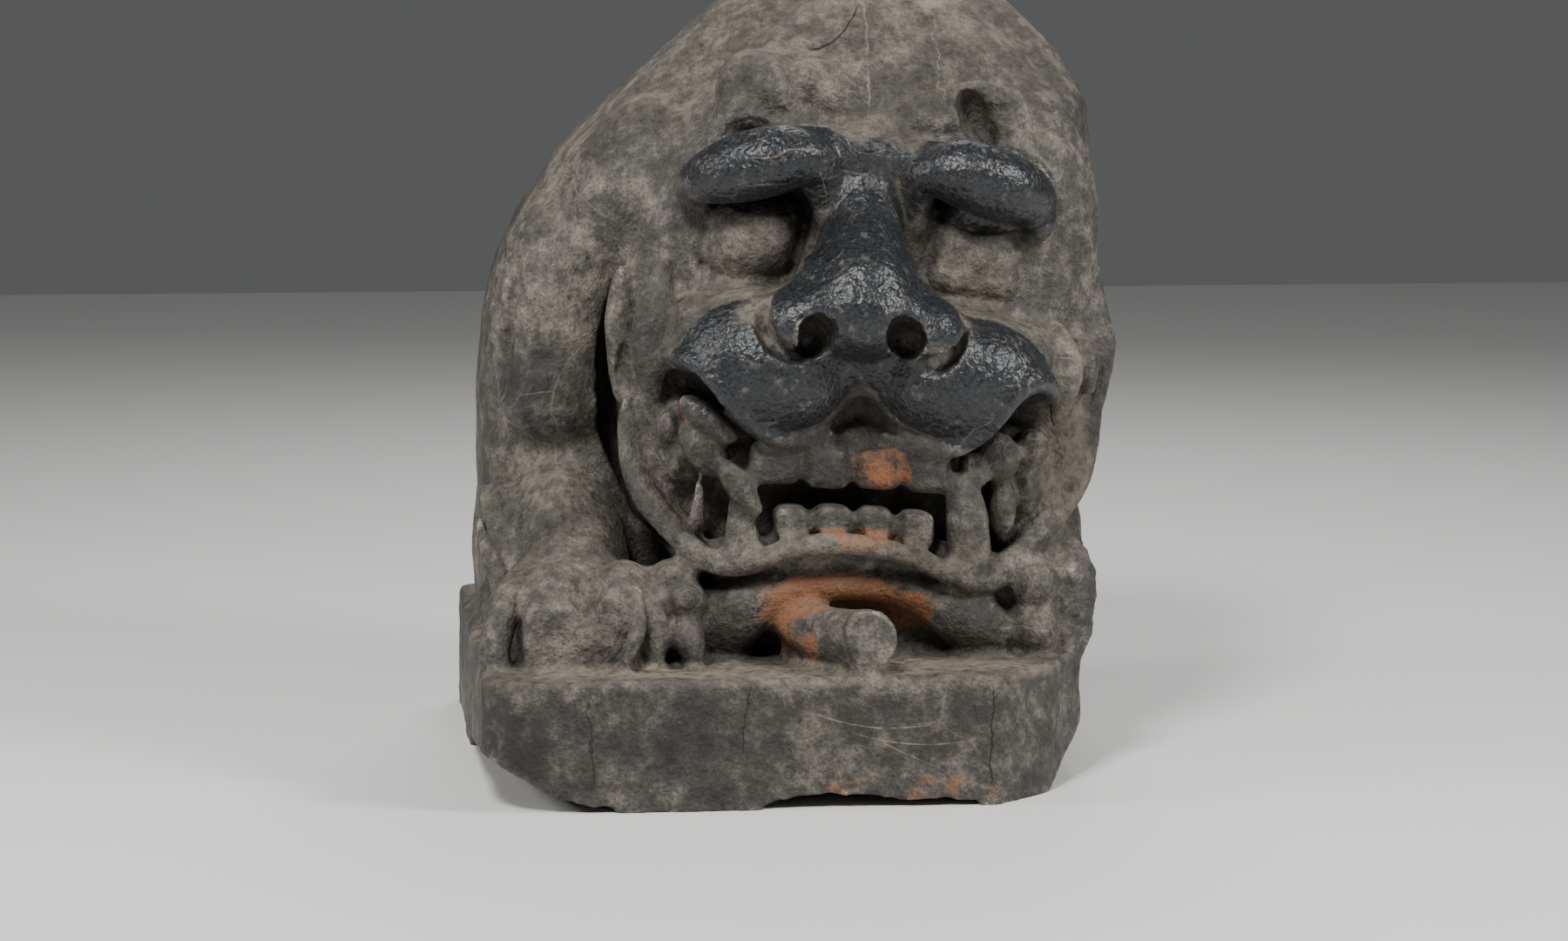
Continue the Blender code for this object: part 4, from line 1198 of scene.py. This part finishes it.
        normal = bench.node("ShaderNodeNewGeometry").outputs["Normal"]
        upward = bench.grey(bench.parts(normal)["Z"], 0.45, 0.0, 1.0, 0.35)
        lying = bench.times(upward, bench.maths("SUBTRACT", 1.0, patina))
        # The hollow layer also lays a little dust in the hollows.
        for layer, share in ((Layer.CAVITY, 0.22), (Layer.CREASE, 0.55), (Layer.DUST, 1.0)):
            lying = bench.maths("MAXIMUM", lying, bench.times(layers[layer], share))
        dusty = bench.times(lying, bench.grey(fine, 0.36, 0.25, 0.56, 1.0))
        colour = bench.coated(dusty, colour, self.dust)

        # Painted sheen with edge wear: the colour on ridges is lightened toward the light stone tone.
        ridge_wear_and_sheen = bench.times(layers[Layer.RIDGE], bench.grey(fine, 0.40, 0.0, 0.60, 0.6))
        colour = bench.coated(ridge_wear_and_sheen, colour, self.light)
        edge = bench.maths("ADD", bench.times(layers[Layer.FRESH], 0.22), layers[Layer.RIDGE])
        chips = bench.grey(blotch, 0.54, 0.0, 0.62, 1.0)
        chips = bench.times(chips, bench.grey(grit, 0.45, 0.0, 0.6, 0.75))
        chips = bench.times(chips, bench.grey(edge, 0.15, 0.0, 0.9, 1.0))
        colour = bench.coated(chips, colour, self.fresh)

        veins = bench.node("ShaderNodeTexVoronoi", feature="DISTANCE_TO_EDGE")
        veins.inputs["Scale"].default_value = 6.0
        bench.link(bench.noise_vector(place, 9.0, 0.10), veins.inputs["Vector"])
        thread = bench.grey(veins.outputs["Distance"], 0.0, 0.45, 0.008, 0.0)
        thread = bench.times(thread, bench.grey(broad, 0.52, 0.0, 0.58, 1.0))
        pale = bench.hairlines(self.scratches, place, blotch)
        pale = bench.times(pale, bench.grey(fine, 0.36, 0.15, 0.6, 0.9))
        colour = bench.coated(bench.maths("MAXIMUM", thread, pale), colour, self.dust)
        split = bench.hairlines(self.cracks, place, blotch)
        colour = bench.coated(split, colour, self.dark)
        # Painted shade: the colour is darkened to as little as 0.4 where a point is most closed in by the
        # stone around it.
        colour = bench.shaded(colour, bench.grey(layers[Layer.CAVITY], 0.5, 1.0, 1.0, 0.4))

        shader = made.node_tree.nodes["Principled BSDF"]
        shader.inputs["Specular IOR Level"].default_value = self.shine
        bench.link(colour, shader.inputs["Base Color"])
        gloss = bench.mix_number(patina, self.roughness, self.patina_roughness)
        gloss = bench.mix_number(dusty, gloss, 0.9)
        gloss = bench.maths("ADD", gloss, bench.spread(grit, 0.5, 0.3))
        bench.link(gloss, shader.inputs["Roughness"])

        hammered = bench.noise(place, 130.0, 1.0, 0.5)
        grain_share = bench.mix_number(patina, 0.35, 0.06)
        fine_share = bench.mix_number(patina, 1.1, 0.35)
        relief = bench.times(hammered, 0.6)
        for texture, share in ((grit, grain_share), (fine, fine_share), (blotch, 1.4), (split, -0.4)):
            relief = bench.maths("ADD", relief, bench.times(texture, share))
        bump = bench.node("ShaderNodeBump")
        bump.inputs["Strength"].default_value = 0.9
        bump.inputs["Distance"].default_value = 0.004
        bench.link(relief, bump.inputs["Height"])
        bench.link(bump.outputs["Normal"], shader.inputs["Normal"])
        return made


Socket = bpy.types.NodeSocket
Paint = Socket | Point


class NodeBench:
    """Adds and joins a material's nodes."""

    def __init__(self, tree: bpy.types.NodeTree) -> None:
        """Work in a node tree."""
        self.tree = tree

    def node(self, kind: str, **settings: str | bool) -> bpy.types.Node:
        """Add a node and set its options."""
        made = self.tree.nodes.new(kind)
        for name, value in settings.items():
            setattr(made, name, value)
        return made

    def link(self, source: Socket, target: Socket) -> None:
        """Join two sockets."""
        self.tree.links.new(source, target)

    def feed(self, target: Socket, value: Socket | float | Sequence[float]) -> None:
        """Give a socket a link or a plain value."""
        if isinstance(value, bpy.types.NodeSocket):
            self.link(value, target)
        else:
            target.default_value = value

    def attribute(self, name: str) -> Socket:
        """Read a number that the mesh holds."""
        made = self.node("ShaderNodeAttribute", attribute_name=name)
        return made.outputs["Fac"]

    def noise(self, place: Socket, scale: float, detail: float, roughness: float) -> Socket:
        """Noise in object space, about 0.5 in the middle."""
        made = self.node("ShaderNodeTexNoise")
        self.link(place, made.inputs["Vector"])
        made.inputs["Scale"].default_value = scale
        made.inputs["Detail"].default_value = detail
        made.inputs["Roughness"].default_value = roughness
        return made.outputs["Fac"]

    def noise_vector(self, place: Socket, scale: float, amount: float) -> Socket:
        """The place, shifted by noise of a scale by up to amount."""
        made = self.node("ShaderNodeTexNoise")
        self.link(place, made.inputs["Vector"])
        made.inputs["Scale"].default_value = scale
        shift = self.node("ShaderNodeVectorMath", operation="SCALE")
        self.link(made.outputs["Color"], shift.inputs[0])
        shift.inputs["Scale"].default_value = amount
        total = self.node("ShaderNodeVectorMath", operation="ADD")
        self.link(place, total.inputs[0])
        self.link(shift.outputs[0], total.inputs[1])
        return total.outputs[0]

    def maths(self, operation: str, first: Socket | float, second: Socket | float) -> Socket:
        """The result of an operation on two numbers. ABSOLUTE reads the first alone."""
        made = self.node("ShaderNodeMath", operation=operation)
        self.feed(made.inputs[0], first)
        self.feed(made.inputs[1], second)
        return made.outputs[0]

    def times(self, first: Socket | float, second: Socket | float) -> Socket:
        """One number times another."""
        return self.maths("MULTIPLY", first, second)

    def spread(self, value: Socket, middle: float, amount: float) -> Socket:
        """How far a number is from its middle, times an amount."""
        return self.times(self.maths("SUBTRACT", value, middle), amount)

    def ramp(self, value: Socket, stops: Sequence[tuple[float, Point]]) -> Socket:
        """Turn a number into a colour through stops."""
        made = self.node("ShaderNodeValToRGB")
        self.link(value, made.inputs["Fac"])
        marks = made.color_ramp.elements
        while len(marks) < len(stops):
            marks.new(0.5)
        for mark, (place, colour) in zip(marks, stops):
            mark.position = place
            mark.color = (*colour, 1)
        return made.outputs["Color"]

    def grey(self, value: Socket, low: float, low_value: float, high: float, high_value: float) -> Socket:
        """Carry a number's range from low to high over to two other values, and no further."""
        made = self.node("ShaderNodeMapRange")
        self.link(value, made.inputs["Value"])
        limits = {"From Min": low, "From Max": high, "To Min": low_value, "To Max": high_value}
        for name, number in limits.items():
            made.inputs[name].default_value = number
        return made.outputs["Result"]

    def parts(self, vector: Socket) -> bpy.types.bpy_prop_collection:
        """A vector's X, Y and Z."""
        made = self.node("ShaderNodeSeparateXYZ")
        self.link(vector, made.inputs[0])
        return made.outputs

    def hairlines(self, lines: Sequence[Hairline], place: Socket, waver: Socket) -> Socket:
        """Draw fine lines.

        Args:
            lines: The lines.
            place: The place in object space.
            waver: Noise that bends them.

        Returns:
            1 on a line and 0 off it.
        """
        axes = self.parts(place)
        drawn: Socket | float = 0.0
        for line in lines:
            run, side = (1, 0) if line.runs_up else (0, 1)
            runs = [mark[run] for mark in line.marks]
            square, slope, start = np.polyfit(runs, [mark[side] for mark in line.marks], 2).tolist()
            along, across = (axes["Z"], axes["X"]) if line.runs_up else (axes["X"], axes["Z"])
            curve = self.maths("ADD", self.times(along, square), slope)
            curve = self.maths("ADD", self.times(along, curve), start)
            away = self.maths("SUBTRACT", across, curve)
            away = self.maths("ADD", away, self.spread(waver, 0.5, line.wobble))
            stroke = self.grey(self.maths("ABSOLUTE", away, 0.0), 0.35 * line.width, 1.0, line.width, 0.0)
            middle, reach = (max(runs) + min(runs)) / 2, (max(runs) - min(runs)) / 2
            from_middle = self.maths("ABSOLUTE", self.maths("SUBTRACT", along, middle), 0.0)
            stroke = self.times(stroke, self.grey(from_middle, 0.8 * reach, 1.0, reach, 0.0))
            stroke = self.times(stroke, self.maths("LESS_THAN", axes["Y"], line.front))
            drawn = self.maths("MAXIMUM", stroke, drawn)
        return drawn

    def mix_colour(self, blend: str, share: Socket | float, first: Paint, second: Paint) -> Socket:
        """Mix two colours, each a socket or plain red, green and blue."""
        made = self.node("ShaderNodeMix", data_type="RGBA", blend_type=blend)
        self.feed(made.inputs[0], share)
        for socket, paint in ((made.inputs[6], first), (made.inputs[7], second)):
            self.feed(socket, (*paint, 1) if isinstance(paint, tuple) else paint)
        return made.outputs[2]

    def coated(self, share: Socket, under: Socket, coat: Paint) -> Socket:
        """Lay a coat over a colour by a share."""
        return self.mix_colour("MIX", share, under, coat)

    def shaded(self, colour: Paint, shade: Socket) -> Socket:
        """Darken or lighten a colour by a number that is 1 for no change."""
        return self.mix_colour("MULTIPLY", 1.0, colour, shade)

    def mix_number(self, share: Socket | float, first: Socket | float, second: Socket | float) -> Socket:
        """Mix two numbers."""
        made = self.node("ShaderNodeMix", data_type="FLOAT")
        self.feed(made.inputs[0], share)
        self.feed(made.inputs[2], first)
        self.feed(made.inputs[3], second)
        return made.outputs[0]


@dataclass
class GuardianLion:
    """The whole carving, one piece of stone."""

    plinth: Plinth = field(default_factory=Plinth)
    body: Body = field(default_factory=Body)
    left_foreleg: LeftForeleg = field(default_factory=LeftForeleg)
    right_foreleg: RightForeleg = field(default_factory=RightForeleg)
    head: Head = field(default_factory=Head)
    teeth: Teeth = field(default_factory=Teeth)
    weather: Weather = field(default_factory=Weather)
    finish: Limestone = field(default_factory=Limestone)
    rough_voxel: float = 0.008
    fine_voxel: float = 0.004
    rough_smoothing: int = 10
    fine_smoothing: int = 2
    triangles: int = 190000

    def carve(self) -> bmesh.types.BMesh:
        """Fuse the masses and hollow them, from the broad forms to the fine."""
        rough = self.plinth.masses()
        rough += moulded([*self.body.masses(), *self.left_foreleg.masses(), *self.right_foreleg.masses()])
        rough += moulded(self.head.masses(), GRID.lean)
        clay = fused(rough, self.rough_voxel, self.rough_smoothing)
        recesses = moulded(self.head.recesses(), GRID.lean) + moulded([self.head.cheek_groove])
        clay = hollowed(clay, recesses)
        fine = moulded([*self.head.fine_masses(), *self.teeth.masses()], GRID.lean)
        fine += moulded([*self.left_foreleg.fine_masses(), *self.right_foreleg.fine_masses()])
        fine += self.plinth.masses()
        clay = fused([clay, *fine], self.fine_voxel, self.fine_smoothing)
        late = moulded(self.head.late_recesses(), GRID.lean) + self.plinth.losses()
        late += moulded(self.left_foreleg.flank_grooves)
        clay = hollowed(clay, late)
        return fused([clay], self.fine_voxel, self.fine_smoothing)

    def stand(self, skin: bmesh.types.BMesh) -> None:
        """Cut the skin level at the floor and close its underside."""
        whole = skin.verts[:] + skin.edges[:] + skin.faces[:]
        bmesh.ops.bisect_plane(skin, geom=whole, plane_co=(0, 0, 0), plane_no=(0, 0, 1), clear_inner=True)
        rim = [edge for edge in skin.edges if edge.is_boundary]
        bmesh.ops.holes_fill(skin, edges=rim, sides=0)
        soles = [face for face in skin.faces if len(face.verts) > 4]
        bmesh.ops.triangulate(skin, faces=soles)

    def build(self) -> bpy.types.Object:
        """Make the finished piece."""
        skin = self.carve()
        self.weather.wear(skin)
        self.stand(skin)
        triangles = sum(len(face.verts) - 2 for face in skin.faces)
        whole = to_object(skin, "carving")
        thin = whole.modifiers.new("facets", "DECIMATE")
        thin.ratio = self.triangles / triangles
        lion = to_object(settled(whole), "carved_lion")
        lion.data.shade_smooth()
        self.finish.layers(lion)
        lion.data.materials.append(self.finish.material())
        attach(lion, "root")
        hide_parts("guardian_lion")
        return lion


@dataclass(frozen=True)
class Studio:
    """A pale floor, soft lights and the camera. Lengths in metres."""

    floor_size: float = 14.0
    floor_colour: Point = (0.80, 0.79, 0.77)
    camera_at: Point = (-0.44568, -4.62859, 0.93)
    camera_forward: Point = (0.10205, 0.98674, -0.12620)
    lens: float = 88.48
    sensor: float = 36.0
    lights: tuple[tuple[Point, float, float], ...] = (
        ((-1.2, -2.8, 3.5), 0.9, 165.0),
        ((2.9, -1.8, 2.4), 0.9, 110.0),
        ((-3.0, -0.4, 1.9), 0.8, 45.0),
        ((0.6, 2.6, 3.0), 1.4, 45.0),
    )
    aim: Point = (0.03, -0.05, 0.5)
    sky: Point = (0.78, 0.79, 0.80)
    sky_strength: float = 0.13

    def floor(self) -> bpy.types.Object:
        """The pale floor."""
        sheet = bmesh.new()
        bmesh.ops.create_grid(sheet, x_segments=1, y_segments=1, size=self.floor_size / 2)
        floor = to_object(sheet, "floor")
        paint = bpy.data.materials.new("pale_floor")
        paint.use_nodes = True
        shader = paint.node_tree.nodes["Principled BSDF"]
        shader.inputs["Base Color"].default_value = (*self.floor_colour, 1)
        shader.inputs["Roughness"].default_value = 0.7
        floor.data.materials.append(paint)
        return floor

    def light(self) -> None:
        """The soft lights and the sky."""
        for place, size, watts in self.lights:
            lamp = bpy.data.lights.new("softbox", "AREA")
            lamp.energy = watts
            lamp.size = size
            stand = bpy.data.objects.new("softbox", lamp)
            bpy.context.scene.collection.objects.link(stand)
            stand.location = place
            stand.rotation_euler = (Vector(self.aim) - Vector(place)).to_track_quat("-Z", "Y").to_euler()
        world = bpy.data.worlds.new("studio")
        bpy.context.scene.world = world
        world.use_nodes = True
        backdrop = world.node_tree.nodes["Background"]
        backdrop.inputs["Color"].default_value = (*self.sky, 1)
        backdrop.inputs["Strength"].default_value = self.sky_strength

    def camera(self) -> None:
        """The camera, at the photograph's angle."""
        eye = bpy.data.cameras.new("camera")
        eye.lens = self.lens
        eye.sensor_width = self.sensor
        stand = bpy.data.objects.new("camera", eye)
        bpy.context.scene.collection.objects.link(stand)
        stand.location = self.camera_at
        stand.rotation_euler = Vector(self.camera_forward).to_track_quat("-Z", "Y").to_euler()
        bpy.context.scene.camera = stand


def main() -> None:
    """Build the studio and the lion."""
    logging.basicConfig(level=logging.INFO, format="%(message)s")
    studio = Studio()
    studio.camera()
    studio.light()
    studio.floor()
    lion = GuardianLion().build()
    faces = lion.data.polygons
    LOG.info("%s: %d triangles", lion.name, sum(len(face.vertices) - 2 for face in faces))


if __name__ == "__main__":
    main()
